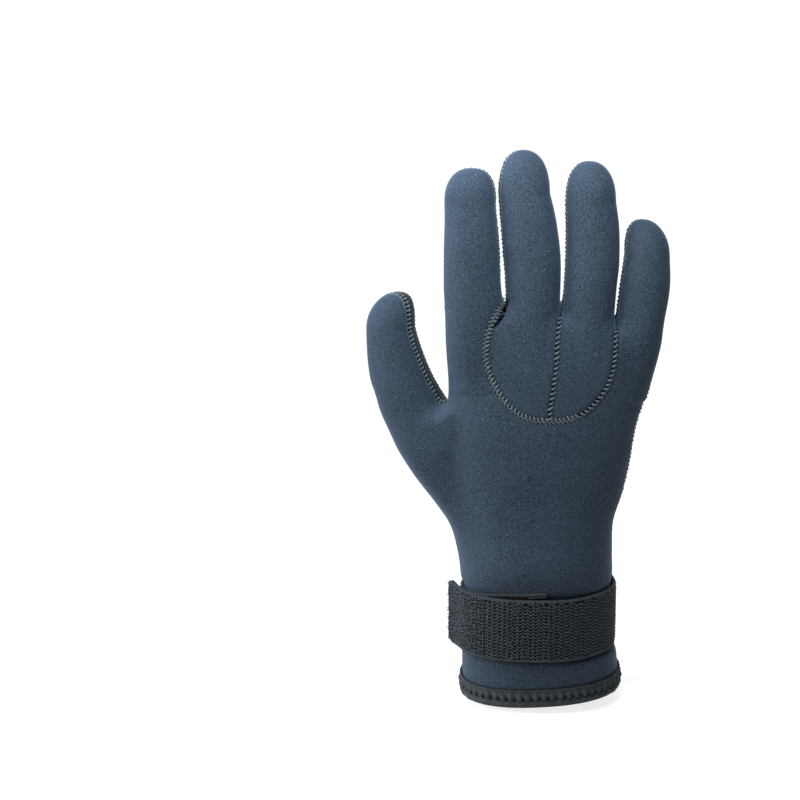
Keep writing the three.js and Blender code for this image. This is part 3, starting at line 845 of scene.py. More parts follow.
def spread_size(nodes, given):
    """A size near 1 for each instance, from the tree's Size Spread and Seed."""
    least, most = (nodes.math(step, 1.0, given["Size Spread"]) for step in ("SUBTRACT", "ADD"))
    size = nodes.add(
        "FunctionNodeRandomValue", {"Min": least, "Max": most, "Seed": given["Seed"]}, data_type="FLOAT"
    )
    return next(o for o in size.outputs if o.enabled)


def placed_on(nodes, given, points, shape, turn):
    """A shape on each point, turned and of a slightly uneven size."""
    return nodes.add(
        "GeometryNodeInstanceOnPoints",
        {"Points": points, "Instance": shape, "Rotation": turn, "Scale": spread_size(nodes, given)},
    ).outputs[0]


def seam_tree():
    """Overlocked stitches along a guide: a fat bead, a strand across the seam and a chain link."""
    nodes, given = growth_tree(
        "seam_stitches",
        "Thread",
        stitch_spacing=0.00215,
        seam_width=0.0026,
        bead_radius=0.00055,
        bead_reach=0.4,
        thread_radius=0.00042,
        chain_radius=0.00032,
        chain_place=0.8,
        slant=0.42,
        strand_lean=1.0,
        rise=0.00045,
        edge_sink=0.0003,
        size_spread=0.13,
        seed=2,
    )
    times, plus = nodes.times, nodes.plus
    spacing, width = given["Stitch Spacing"], given["Seam Width"]
    curve = nodes.add("GeometryNodeMeshToCurve", {"Mesh": given["Geometry"]}).outputs[0]
    points = nodes.add(
        "GeometryNodeResampleCurve", {"Curve": curve, "Length": spacing}, mode="LENGTH"
    ).outputs[0]
    half = times(width, 0.5)
    inner = times(half, -1.0)
    lean = times(spacing, given["Slant"])
    top = times(given["Rise"], 2.0)
    reach = plus(inner, times(width, given["Bead Reach"]))
    bead_lean = times(lean, 0.55)
    bead = bent_bar(
        nodes,
        nodes.xyz(bead_lean, inner, 0.0),
        nodes.xyz(0.0, times(plus(inner, reach), 0.5), top),
        nodes.xyz(times(bead_lean, -1.0), reach, 0.0),
        given["Bead Radius"], steps=4, sides=6,
    )
    strand = bent_bar(
        nodes,
        nodes.xyz(times(lean, 0.3), times(half, -0.5), 0.0),
        nodes.xyz(0.0, times(half, 0.2), top),
        nodes.xyz(times(lean, times(given["Strand Lean"], -1.0)), half, times(given["Edge Sink"], -1.0)),
        given["Thread Radius"], steps=4, sides=5,
    )
    place = times(half, given["Chain Place"])
    aside = times(half, 0.25)
    link = bent_bar(
        nodes,
        nodes.xyz(times(spacing, -0.6), nodes.math("SUBTRACT", place, aside), 0.0),
        nodes.xyz(0.0, place, times(given["Rise"], 1.5)),
        nodes.xyz(times(spacing, 0.6), plus(place, aside), 0.0),
        given["Chain Radius"], steps=3, sides=5,
    )
    join = nodes.add("GeometryNodeJoinGeometry")
    for part in (link, strand, bead):
        nodes.give(join.inputs[0], part)
    turn = facing(nodes, named_vector(nodes, "along"), named_vector(nodes, "outward"))
    placed = placed_on(nodes, given, points, join.outputs[0], turn)
    return finished_tree(nodes, placed, given["Thread"])


def dot_tree():
    """Small raised rubber dots on the points of a guide."""
    nodes, given = growth_tree(
        "grip_dots", "Rubber", dot_radius=0.00034, dot_height=0.00024, size_spread=0.12, seed=4
    )
    radius = given["Dot Radius"]
    cone = nodes.add(
        "GeometryNodeMeshCone",
        {
            "Vertices": 6,
            "Radius Top": nodes.times(radius, 0.55),
            "Radius Bottom": radius,
            "Depth": given["Dot Height"],
        },
        fill_type="TRIANGLE_FAN",
    ).outputs["Mesh"]
    outward = named_vector(nodes, "outward")
    turn = nodes.add("FunctionNodeAlignRotationToVector", {"Vector": outward}, axis="Z").outputs[0]
    return finished_tree(nodes, placed_on(nodes, given, given["Geometry"], cone, turn), given["Rubber"])


def pile_tree():
    """Short bowed loops of yarn on the points of a guide, each along its own direction."""
    nodes, given = growth_tree(
        "tape_pile", "Yarn", loop_length=0.0017, loop_rise=0.0004, yarn_radius=0.00034,
        size_spread=0.12, seed=9,
    )
    half = nodes.times(given["Loop Length"], 0.5)
    loop = bent_bar(
        nodes,
        nodes.xyz(nodes.times(half, -1.0), 0.0, 0.0),
        nodes.xyz(0.0, 0.0, nodes.times(given["Loop Rise"], 2.0)),
        nodes.xyz(half, 0.0, 0.0),
        given["Yarn Radius"], steps=4, sides=5,
    )
    turn = facing(nodes, named_vector(nodes, "along"), named_vector(nodes, "outward"))
    return finished_tree(nodes, placed_on(nodes, given, given["Geometry"], loop, turn), given["Yarn"])


def cord_tree():
    """A round thread right along a guide."""
    nodes, given = growth_tree("round_thread", "Thread", thread_radius=0.0003, thread_sides=6)
    curve = nodes.add("GeometryNodeMeshToCurve", {"Mesh": given["Geometry"]}).outputs[0]
    tube = tube_along(nodes, curve, given["Thread Radius"], given["Thread Sides"])
    return finished_tree(nodes, tube, given["Thread"])


def guide_mesh(points, edges=(), vectors=None):
    """Points in millimetres, joined by edges, with the attributes that a tree reads."""
    mesh = bpy.data.meshes.new("guide")
    mesh.from_pydata((np.asarray(points) * MM).tolist(), [tuple(e) for e in edges], [])
    for key, values in (vectors or {}).items():
        attribute = mesh.attributes.new(key, "FLOAT_VECTOR", "POINT")
        attribute.data.foreach_set("vector", np.asarray(values, np.float32).ravel())
    return mesh


def joined_lines(lines, vectors=None):
    """A guide of several lines, each of them points and whether it closes."""
    edges, start = [], 0
    for line, closed in lines:
        end = start + len(line)
        edges += [(i, i + 1) for i in range(start, end - 1)]
        if closed:
            edges.append((end - 1, start))
        start = end
    return guide_mesh(np.concatenate([line for line, _ in lines]), edges, vectors)


def line_guide(lines, distance, turned=None):
    """A guide of lines on a surface, with the ways out of it and along them, perhaps turned."""
    points = np.concatenate([line for line, _ in lines])
    along = np.concatenate([line_tangents(line, closed) for line, closed in lines])
    if turned is not None:
        along = along * np.where(turned(*points.T), -1, 1)[:, None]
    return joined_lines(lines, {"outward": outward_at(points, distance), "along": along})


def grow(name, slot, guide, tree, **inputs):
    """Adds the plain mesh that a tree makes from a guide, as a piece that rides on the glove."""
    inputs = {named(key): value for key, value in inputs.items()}
    source = added(name + "_guide", guide)
    modifier = source.modifiers.new("Growth", "NODES")
    modifier.node_group = tree
    for item in tree.interface.items_tree:
        if item.item_type == "SOCKET" and item.in_out == "INPUT" and item.name in inputs:
            modifier[item.identifier] = inputs[item.name]
    depsgraph = bpy.context.evaluated_depsgraph_get()
    mesh = bpy.data.meshes.new_from_object(source.evaluated_get(depsgraph), depsgraph=depsgraph)
    source.modifiers.clear()
    bpy.data.objects.remove(source)
    bpy.data.meshes.remove(guide)
    mesh.name = name
    if not mesh.polygons:
        raise RuntimeError(f"{name}: the node tree made no faces")
    settle(added(name, mesh), slot)


def sewn(name, slot, lines, radius, sides, finish):
    """Adds round threads along some lines."""
    grow(
        name, slot, joined_lines(lines), cord_tree(),
        thread_radius=radius, thread_sides=sides, thread=finish_of(finish),
    )


def napped(name, slot, points, vectors, loop, finish):
    """Adds loops of yarn on some points, of a length, rise and yarn radius."""
    length_, rise, radius = loop
    grow(
        name, slot, guide_mesh(points, vectors=vectors), pile_tree(),
        loop_length=length_, loop_rise=rise, yarn_radius=radius, yarn=finish_of(finish),
    )


def settle(piece, slot, *replaced):
    """Rides a piece on the glove's body and hides the solids that it stands for; the slot it is given is
    not used.
    """
    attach(piece, BODY)
    if replaced:
        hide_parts(*replaced)


# Materials


class Finish(Nodes):
    """A material whose colour, roughness and relief are built up from nodes."""

    def __init__(self, name, **values):
        self.material = bpy.data.materials.new(name)
        self.material.use_nodes = True
        super().__init__(self.material.node_tree)
        self.shader = next(n for n in self.tree.nodes if n.type == "BSDF_PRINCIPLED")
        for key, value in values.items():
            self.shader.inputs[named(key)].default_value = value
        self.place = self.add("ShaderNodeTexCoord").outputs["Object"]

    def stretched(self, x, y, z):
        return self.add("ShaderNodeMapping", {"Vector": self.place, "Scale": (x, y, z)}).outputs[0]

    def noise(self, scale, detail=2.0, rough=0.5, place=None):
        return self.add(
            "ShaderNodeTexNoise",
            {"Vector": place or self.place, "Scale": scale, "Detail": detail, "Roughness": rough},
        ).outputs[0]

    def cells(self, scale):
        return self.add("ShaderNodeTexVoronoi", {"Vector": self.place, "Scale": scale}).outputs[0]

    def wave(self, scale, direction, distortion):
        return self.add(
            "ShaderNodeTexWave",
            {"Vector": self.place, "Scale": scale, "Distortion": distortion, "Detail": 1.0},
            bands_direction=direction,
        ).outputs[1]

    def span(self, value, low, high, to_low=0.0, to_high=1.0):
        return self.add(
            "ShaderNodeMapRange", {"Value": value, 1: low, 2: high, 3: to_low, 4: to_high}
        ).outputs[0]

    def mixed(self, share, one, other):
        node = self.add("ShaderNodeMix", data_type="RGBA")
        self.give(node.inputs[0], share)
        self.give(node.inputs[6], one)
        self.give(node.inputs[7], other)
        return node.outputs[2]

    def relief(self, *layers):
        """Bump layers as (height, strength, distance in millimetres), one over the other."""
        last = None
        for height, strength, distance in layers:
            inputs = {"Height": height, "Strength": strength, "Distance": distance * MM}
            if last is not None:
                inputs["Normal"] = last
            last = self.add("ShaderNodeBump", inputs).outputs[0]
        self.give(self.shader.inputs["Normal"], last)

    def colour(self, value):
        self.give(self.shader.inputs["Base Color"], value)

    def rough(self, value):
        self.give(self.shader.inputs["Roughness"], value)


def shade(colour, factor):
    """A colour made lighter or darker."""
    return (*(min(c * factor, 1.0) for c in colour[:3]), 1.0)


def neoprene_finish(name, colour, sheen, sheen_tint):
    """Nylon-faced neoprene: fine speckled knit with a soft sheen."""
    f = Finish(name, sheen_weight=sheen, sheen_roughness=0.42, sheen_tint=sheen_tint)
    f.shader.inputs["Specular IOR Level"].default_value = 0.08
    grain = f.noise(2600, 1.5, 0.6, f.stretched(1.0, 1.0, 0.7))
    broad = f.noise(45, 3.0, 0.55)
    knit = f.mixed(f.span(grain, 0.36, 0.64), shade(colour, 0.2), shade(colour, 1.8))
    worn = f.mixed(f.span(broad, 0.35, 0.7, 0.0, 0.4), knit, shade(colour, 1.3))
    points = f.times(f.span(f.cells(560), 0.26, 0.12), f.span(f.noise(420, 1.0), 0.5, 0.62))
    flecked = f.mixed(f.times(points, 0.55), worn, shade(colour, 3.2))
    speck = f.span(f.cells(210), 0.05, 0.025)
    chosen = f.span(f.noise(55, 1.0), 0.58, 0.61)
    f.colour(f.mixed(f.times(speck, chosen), flecked, (0.3, 0.37, 0.42, 1)))
    f.rough(f.span(grain, 0.3, 0.7, 0.66, 0.86))
    wales = f.wave(420, "DIAGONAL", 0.6)
    f.relief((broad, 0.2, 0.2), (wales, 0.25, 0.05), (grain, 0.6, 0.08))
    return f.material


def thread_finish(name, colour):
    """Bulky seam thread: two twisted plies with light glints."""
    f = Finish(name, sheen_weight=0.05)
    f.shader.inputs["Specular IOR Level"].default_value = 0.25
    fuzz = f.noise(2600, 2.0, 0.7)
    ply = f.wave(700, "DIAGONAL", 1.5)
    f.colour(f.mixed(f.span(fuzz, 0.35, 0.65), shade(colour, 0.55), shade(colour, 1.6)))
    f.rough(f.span(fuzz, 0.3, 0.7, 0.35, 0.6))
    f.relief((ply, 0.5, 0.08), (fuzz, 0.4, 0.05))
    return f.material


def tape_finish(name, colour, light=1.5):
    """Black stretch tape or webbing: fine ribs and a little fuzz."""
    f = Finish(name, sheen_weight=0.03)
    f.shader.inputs["Specular IOR Level"].default_value = 0.1
    fuzz = f.noise(1700, 3.0, 0.7)
    ribs = f.wave(420, "Z", 2.0)
    f.colour(f.mixed(f.span(fuzz, 0.35, 0.65), shade(colour, 0.65), shade(colour, light)))
    f.rough(f.span(fuzz, 0.3, 0.7, 0.6, 0.85))
    f.relief((ribs, 0.35, 0.08), (fuzz, 0.5, 0.08))
    return f.material


def rubber_finish(name, colour):
    """Pale silicone grip dots, slightly dirty on top."""
    f = Finish(name)
    dirt = f.noise(900, 2.0)
    f.colour(f.mixed(f.span(dirt, 0.3, 0.7), shade(colour, 0.75), shade(colour, 1.15)))
    f.rough(f.span(dirt, 0.3, 0.7, 0.4, 0.6))
    f.relief((dirt, 0.2, 0.03))
    return f.material


def plain_finish(name, colour, glow):
    """The matt white light table."""
    f = Finish(name, emission_strength=glow, emission_color=(1, 1, 1, 1))
    f.shader.inputs["Specular IOR Level"].default_value = 0.1
    tone = f.noise(3.0, 2.0)
    f.colour(f.mixed(tone, shade(colour, 0.995), shade(colour, 1.005)))
    f.rough(f.span(tone, 0.3, 0.7, 0.85, 0.95))
    return f.material


_made = {}


def finish_of(key):
    """A material of the glove, made when it is first needed."""
    if key not in _made:
        look = bpy.context.scene.glove_look
        makers = {
            "navy": lambda: neoprene_finish("navy_neoprene", look.navy, 0.12, (0.55, 0.72, 1.0, 1)),
            "grip": lambda: neoprene_finish("grip_knit", look.grip, 0.06, (0.7, 0.85, 0.95, 1)),
            "dots": lambda: rubber_finish("grip_rubber", look.dots),
            "thread": lambda: thread_finish("seam_thread", look.thread),
            "side_thread": lambda: thread_finish("side_seam_thread", look.side_thread),
            "tape": lambda: tape_finish("binding_tape", look.tape),
            "webbing": lambda: tape_finish("loop_webbing", look.webbing),
            "yarn": lambda: tape_finish("webbing_yarn", look.yarn, 2.4),
            "selvedge": lambda: tape_finish("selvedge_yarn", look.tape, 3.2),
            "hook": lambda: tape_finish("hook_tape", look.webbing),
        }
        _made[key] = makers[key]()
    return _made[key]


# Settings


def length(name, description, default, low=0.0, high=1.0):
    """A setting that holds a length in metres."""
    return FloatProperty(
        name=name, description=description, default=default, min=low, max=high, precision=5,
        subtype="DISTANCE", unit="LENGTH",
    )


def hue(name, description, default):
    """A setting that holds a colour."""
    return FloatVectorProperty(
        name=name, description=description, default=default, size=3, min=0.0, max=1.0, subtype="COLOR"
    )


class GloveSizes(bpy.types.PropertyGroup):
    """Sizes of the glove's cloth, seams, binding and strap."""

    wall: length("Neoprene", "Thickness of the neoprene sheet", 0.003)
    seam_gap: length("Seam gap", "Clearance between two sewn panels", 0.0002)
    seam_round: length("Seam rounding", "How far the panels round off towards a seam", 0.0026)
    mesh_step: length("Mesh step", "Size of the faces of the neoprene", 0.00104)
    stitch_spacing: length("Stitch spacing", "Distance from stitch to stitch", 0.00215)
    palm_seam_width: length("Palm seam width", "Width of the overlocked side seams", 0.0032)
    knuckle_seam_width: length("Knuckle seam width", "Width of the seams on the back", 0.0029)
    thread_radius: length("Thread radius", "Radius of the bulky seam thread", 0.00042)
    dot_column: length("Dot columns", "Distance between two columns of grip dots", 0.0022)
    dot_row: length("Dot rows", "Distance between the dots of a column", 0.002)
    dot_radius: length("Dot radius", "Radius of a grip dot", 0.0004)
    dot_height: length("Dot height", "Height of a grip dot", 0.00026)
    puff_pitch: length("Puff pitch", "Distance between the zigzag stitches of the binding", 0.0042)
    strap_width: length("Strap width", "Width of the webbing", 0.032)
    strap_body: length("Strap body", "Thickness of the webbing without its pile", 0.00125)
    pile_row: length("Pile row", "Distance between the loops of a rib", 0.0017)
    pile_rib: length("Pile rib", "Distance between two ribs of the pile", 0.00253)


class GloveLook(bpy.types.PropertyGroup):
    """Colours of the glove."""

    navy: hue("Navy", "Slate navy nylon face of the neoprene", (0.0180, 0.0263, 0.0370))
    grip: hue("Grip knit", "Dark ground between the grip dots", (0.0125, 0.0165, 0.0195))
    dots: hue("Grip dots", "Pale rubber dots", (0.15, 0.21, 0.25))
    thread: hue("Thread", "Grey seam thread", (0.042, 0.051, 0.057))
    side_thread: hue("Side thread", "Lighter thread of the palm's seams", (0.064, 0.077, 0.085))
    tape: hue("Binding", "Black stretch binding", (0.0205, 0.0245, 0.0265))
    webbing: hue("Webbing", "Black webbing ground", (0.003, 0.0032, 0.0036))
    yarn: hue("Pile yarn", "Black yarn of the pile", (0.035, 0.041, 0.045))


class GloveStage(bpy.types.PropertyGroup):
    """Camera and floor."""

    distance: length("Camera distance", "From the camera to the point it looks at", 1.05, high=5.0)
    elevation: FloatProperty(
        name="Elevation", description="Angle of the camera above the horizon",
        default=math.radians(12.5), subtype="ANGLE", unit="ROTATION",
    )
    floor_colour: hue("Floor", "Plain pale floor", (0.25, 0.25, 0.25))
    floor_glow: FloatProperty(
        name="Floor glow", description="Light that the white table gives from below", default=0.8,
        min=0.0, max=2.0,
    )


def in_mm(value):
    """A setting's length in millimetres."""
    return value / MM


# The pieces

MOUTH_SLOPE = 0.06
MOUTH_HEIGHT = 1.4  # of the neoprene's lower edge, inside the binding
UNDER_TAPE = 1.5  # how far the neoprene is pressed in under the binding
TAPE_EDGE = 6.6, 8.6  # heights over which it comes out again


def panel_grid(region, low, high, step, sizes):
    """One neoprene panel as points and faces."""
    wall, gap, rounding = in_mm(sizes.wall), in_mm(sizes.seam_gap), in_mm(sizes.seam_round)

    def solid(x, y, z):
        cloth_side = outer_distance(x, y, z) + folded_in(region, x, y, z)
        outer = cloth_side + UNDER_TAPE * (1 - between(*TAPE_EDGE, z - MOUTH_SLOPE * x))
        edge = gap / 2 - panel_reach(region, x, y, z)
        overlap = np.maximum(rounding - np.abs(outer - edge), 0)
        body = np.maximum(outer, edge) + overlap**2 / (4 * rounding)
        mouth = MOUTH_HEIGHT + MOUTH_SLOPE * x - z
        return np.maximum(np.maximum(body, -wall - cloth_side), mouth)

    points, faces = largest_part(*surface_of(solid, low, high, step))
    return drawn_to(points, solid, 0.6 * step), faces


def glove_step(sizes):
    return in_mm(sizes.mesh_step) * 1.0


PANELS = (
    # region, piece, CAD node, finish, slot, lowest and highest corner in millimetres
    ("back", "back_neoprene", "back_panel", "navy", "navy_neoprene", (-94, -40, -4), (68, 40, 270)),
    ("middle", "middle_finger_neoprene", "middle_finger_panel", "navy", "navy_neoprene",
     (-32, -30, 140), (14, 24, 279)),
    ("ring", "ring_finger_neoprene", "ring_finger_panel", "navy", "navy_neoprene",
     (0, -30, 140), (44, 24, 273)),
    ("palm", "palm_neoprene", "palm_panel", "grip", "grip_neoprene", (-92, -16, 74), (68, 38, 278)),
)


class GLOVE_OT_panels(bpy.types.Operator):
    """Make the four neoprene panels with their rounded seam edges"""

    bl_idname = "glove.panels"
    bl_label = "Neoprene Panels"

    def execute(self, context):
        sizes = context.scene.glove_sizes
        step = glove_step(sizes)
        for region, name, node, finish, slot, low, high in PANELS:
            points, faces = panel_grid(region, low, high, step, sizes)
            piece = add_piece(name, points, faces, finish_of(finish), sharp=math.radians(60))
            settle(piece, slot, node)
        return {"FINISHED"}


def outer_skin(step):
    """The whole outer surface as triangles, to trace the seams on."""
    points, quads = surface_of(outer_distance, (-94, -40, 60), (68, 44, 279), step)
    points = drawn_to(points, outer_distance, 0.6 * step, 2)
    return points, np.concatenate([quads[:, [0, 1, 2]], quads[:, [0, 2, 3]]])


def on_seam(points, reach):
    """Points brought onto both the outer surface and the line where reach is zero."""
    for _ in range(3):
        points = drawn_to(points, reach, 0.5, 1)
        points = drawn_to(points, outer_distance, 0.5, 1)
    return points


def turned_out(line, closed, reach):
    """A line run in the direction that has the panel's outside on its left."""
    way = line_tangents(line, closed)
    side = np.cross(outward_at(line, outer_distance), way)
    gain = reach(*(line + side).T) - reach(*(line - side).T)
    return line[::-1] if gain.sum() > 0 else line


def line_tangents(line, closed):
    """Unit vectors along a line."""
    if closed:
        way = np.roll(line, -1, 0) - np.roll(line, 1, 0)
    else:
        way = np.gradient(line, axis=0)
    return way / np.maximum(np.linalg.norm(way, axis=1), 1e-9)[:, None]


TRACE_STEP, TRACE_SPACING, RUN_SPACING = 1.1, 0.8, 0.7
SHORTEST_TRACE, SHORTEST_RUN = 12, 8  # points of a line that is kept
PALM_SEAM_BOTTOM = 62
BACK_SEAM_TOP = 200.5
FROM_PALM, FROM_KNUCKLES = 2.0, 1.2  # clearance of the seams on the back from those they meet
BRAID_END = 17  # how far across the knuckle seam is sewn as a wide braid
NARROW_TOP, CENTRE_TOP = 188.5, 194  # where the narrow seams on the back end


def seam_lines():
    """The paths of the seams: the grip panel's edge, then the knuckle U and the centre seam."""
    points, triangles = outer_skin(TRACE_STEP)

    def traced(reach, keep):
        found = []
        for line, closed in contour_lines(points, triangles, reach(*points.T)):
            if len(line) < SHORTEST_TRACE:
                continue
            line = on_seam(even_line(line, TRACE_SPACING, closed, 3), reach)
            for run, whole in kept_runs(line, closed, keep(*line.T), SHORTEST_RUN):
                run = even_line(run, RUN_SPACING, whole, 2)
                found.append((turned_out(run, whole, reach), whole))
        return found

    def on_back(x, y, z):
        return (palm_reach(x, y, z) < -FROM_PALM) & (z < BACK_SEAM_TOP)

    def knuckles(x, y, z):
        return IN_KNUCKLES.at(x, z)

    def apart(x, y, z):
        return IN_MIDDLE.at(x, z) - IN_RING.at(x, z)

    palm = traced(palm_reach, lambda x, y, z: z > PALM_SEAM_BOTTOM)
    knuckle = traced(knuckles, on_back)
    centre = traced(apart, lambda x, y, z: on_back(x, y, z) & (knuckles(x, y, z) > FROM_KNUCKLES))
    return palm, knuckle, centre


def sunk(depth):
    """The outer surface, let in a little where the thread beds into the groove."""
    return lambda x, y, z: outer_distance(x, y, z) + depth


HEEL_NEAR, HEEL_TOP = 1.5, 118


def at_heel(x, y, z):
    """Whether a point lies on the heel seam, whose stitches are turned the other way."""
    return (ABOVE_HEEL.at(x, z) < HEEL_NEAR) & (z < HEEL_TOP)


CUFF_SEAM = table("degrees z", [(9, 84), (14, 70), (24, 52), (33, 30), (39, 9)])
CUFF_SEAM_TOP, CUFF_SEAM_BOTTOM = 83.5, 9.6


def cuff_seam():
    """The side seam that runs down the cuff from the heel of the palm to the binding."""
    z = np.arange(CUFF_SEAM_TOP, CUFF_SEAM_BOTTOM, -RUN_SPACING)
    degrees = np.interp(z, CUFF_SEAM["z"][::-1], CUFF_SEAM["degrees"][::-1])
    x, y = cuff_oval(degrees, z, 0.0)
    return drawn_to(np.stack([x, y, z], axis=1), outer_distance, 0.8, 3)


def runs_of(lines, keep):
    """The stretches of some lines where keep holds."""
    found = []
    for line, closed in lines:
        found += kept_runs(line, closed, keep(*line.T), SHORTEST_RUN)
    return found


class GLOVE_OT_seams(bpy.types.Operator):
    """Sew the panels together with overlocked thread"""

    bl_idname = "glove.seams"
    bl_label = "Seam Threads"

    def execute(self, context):
        sizes = context.scene.glove_sizes
        palm, knuckle, centre = seam_lines()
        tree = seam_tree()
        narrow = runs_of(knuckle, lambda x, y, z: (x > BRAID_END) & (z < NARROW_TOP))
        centre = runs_of(centre, lambda x, y, z: z < CENTRE_TOP)
        knuckle = runs_of(knuckle, lambda x, y, z: x < BRAID_END)
        common = dict(
            stitch_spacing=sizes.stitch_spacing,
            thread_radius=sizes.thread_radius,
            thread=finish_of("thread"),
        )
        side = dict(
            thread_radius=0.00034,
            bead_radius=0.00048,
            chain_radius=0.00022,
            thread=finish_of("side_thread"),
        )
        braid = dict(strand_lean=2.1, chain_place=0.1, chain_radius=0.00028)
        lean = dict(stitch_spacing=0.0024, bead_reach=1.0, thread_radius=0.0002, chain_radius=0.00015)
        thin = dict(stitch_spacing=0.0019, bead_radius=0.0003, thread_radius=0.00024)
        for name, lines, depth, width, own, turned in (
            ("palm_seam_thread", palm, 0.6, sizes.palm_seam_width, side, at_heel),
            ("knuckle_seam_thread", knuckle, 0.25, sizes.knuckle_seam_width, braid, None),
            ("centre_seam_thread", centre + narrow, 0.2, 0.0017, lean, None),
            ("cuff_seam_thread", [(cuff_seam(), False)], 0.2, 0.0014, thin, None),
        ):
            lines = [(drawn_to(line, sunk(depth), 0.6, 2), closed) for line, closed in lines]
            guide = line_guide(lines, outer_distance, turned)
            grow(name, "binding_tape", guide, tree, **{**common, "seam_width": width, **own})
        return {"FINISHED"}


CLUSTER_WIDE, CLUSTER_TALL = 4 * math.sqrt(3), 12.0  # cell with two hexagons of 37 dots, in dot units
CLUSTER_SIDE = 3 * math.sqrt(3) / 2
DOT_TILT = math.radians(-6)  # how far the printed pattern is turned on the palm
DOT_SEAM_CLEARANCE = 2.0
DOT_CROWDING = 1.5  # the least distance between dots of two limbs
DOT_SHIFT = 1.5  # how far a dot may move to reach the surface
DOT_MISS = 0.05  # how far off the surface it may end
DOT_MIDDLE = 150.0  # height about which the pattern is turned
WRAP_STEP = 0.3  # height of the bands in which the pattern is wrapped


def in_cluster(x, y):
    """Whether a dot of the even pattern is printed, or lies in the bare channels between hexagons."""
    inside = np.zeros(x.shape, bool)
    for shift_x, shift_y in ((0.0, 0.0), (CLUSTER_WIDE / 2, CLUSTER_TALL / 2)):
        dx = np.abs((x + shift_x + CLUSTER_WIDE / 2) % CLUSTER_WIDE - CLUSTER_WIDE / 2)
        dy = np.abs((y + shift_y + CLUSTER_TALL / 2) % CLUSTER_TALL - CLUSTER_TALL / 2)
        inside |= np.maximum(dx, dx / 2 + dy * math.sqrt(3) / 2) < CLUSTER_SIDE + 0.05
    return inside


def printed_pattern(sizes):
    """Places of the printed dots across and up the flat cloth, in millimetres."""
    column, row = np.meshgrid(np.arange(-60, 61), np.arange(20, 160), indexing="ij")
    up = row + (column % 2) * 0.5
    keep = in_cluster(column * math.sqrt(3) / 2, up)
    across, up = column[keep] * in_mm(sizes.dot_column), up[keep] * in_mm(sizes.dot_row)
    c, s = math.cos(DOT_TILT), math.sin(DOT_TILT)
    up = up - DOT_MIDDLE
    return across * c - up * s, across * s + up * c + DOT_MIDDLE


def wrapped_on(limb, across, up):
    """Points of the flat pattern wrapped round the palm side of a limb."""
    points = []
    angles = np.linspace(0, math.pi, 181)
    c, s = np.cos(angles), np.sin(angles)
    reach = oval_reach(c, s, limb.power)
    band = np.round(up / WRAP_STEP).astype(int)
    for level in np.unique(band):
        z = level * WRAP_STEP
        cx, cy, a, b, *_ = limb.section(z)
        if limb.tip and z > limb.last:
            rise = min((z - limb.last) / (limb.high - limb.last), 1)
            shrink = max(1 - rise**limb.dome, 0) ** (1 / limb.dome)
            a, b = a * shrink, b * shrink
        if a < 1.5:
            continue
        line = np.stack([cx + a * c * reach, cy + b * s * reach], axis=1)[::-1]
        along = run_length(np.linalg.norm(np.diff(line, axis=0), axis=1))
        here = band == level
        at = across[here] - cx + np.interp(cx, line[:, 0], along)
        good = (at > 0) & (at < along[-1])
        x, y = (np.interp(at[good], along, line[:, k]) for k in (0, 1))
        points.append(np.stack([x, y, up[here][good]], axis=1))
    return np.concatenate(points)


def clear_of(points, taken, distance):
    """The points that keep a distance from those already taken."""
    cells = {}
    for point in taken:
        cells.setdefault(tuple((point // 2).astype(int)), []).append(point)
    steps = [(i, j, k) for i in (-1, 0, 1) for j in (-1, 0, 1) for k in (-1, 0, 1)]
    free = []
    for point in points:
        i, j, k = (point // 2).astype(int)
        near = [q for di, dj, dk in steps for q in cells.get((i + di, j + dj, k + dk), ())]
        if not near or np.linalg.norm(np.array(near) - point, axis=1).min() > distance:
            free.append(point)
    return np.array(free).reshape(-1, 3)


DOT_ZONES = (
    # Limb and the height from which it carries dots, in the order in which they are placed
    (MIDDLE, 178), (RING, 178), (INDEX, 178), (LITTLE, 176), (THUMB, 128), (TRUNK, 78),
    (THUMB, 96), (INDEX, 160), (LITTLE, 160),
)


def dot_places(sizes):
    """Where the grip dots lie on the palm side, in millimetres."""
    across, up = printed_pattern(sizes)
    kept = np.zeros((0, 3))
    for limb, low in DOT_ZONES:
        here = (up > low) & (up < limb.high)
        points = wrapped_on(limb, across[here], up[here])
        placed = drawn_to(points, outer_distance, 0.8, 3)
        moved = np.linalg.norm(placed - points, axis=1)
        good = (moved < DOT_SHIFT) & (palm_reach(*placed.T) > DOT_SEAM_CLEARANCE)
        good &= np.abs(outer_distance(*placed.T)) < DOT_MISS
        kept = np.concatenate([kept, clear_of(placed[good], kept, DOT_CROWDING)])
    return kept


class GLOVE_OT_grip(bpy.types.Operator):
    """Raise the small rubber dots on the grip panel"""

    bl_idname = "glove.grip"
    bl_label = "Grip Dots"

    def execute(self, context):
        sizes = context.scene.glove_sizes
        points = dot_places(sizes)
        guide = guide_mesh(points, vectors={"outward": outward_at(points, outer_distance)})
        grow(
            "palm_grip_dots", "grip_neoprene", guide, dot_tree(),
            dot_radius=sizes.dot_radius, dot_height=sizes.dot_height, rubber=finish_of("dots"),
        )
        return {"FINISHED"}


# Cuff binding

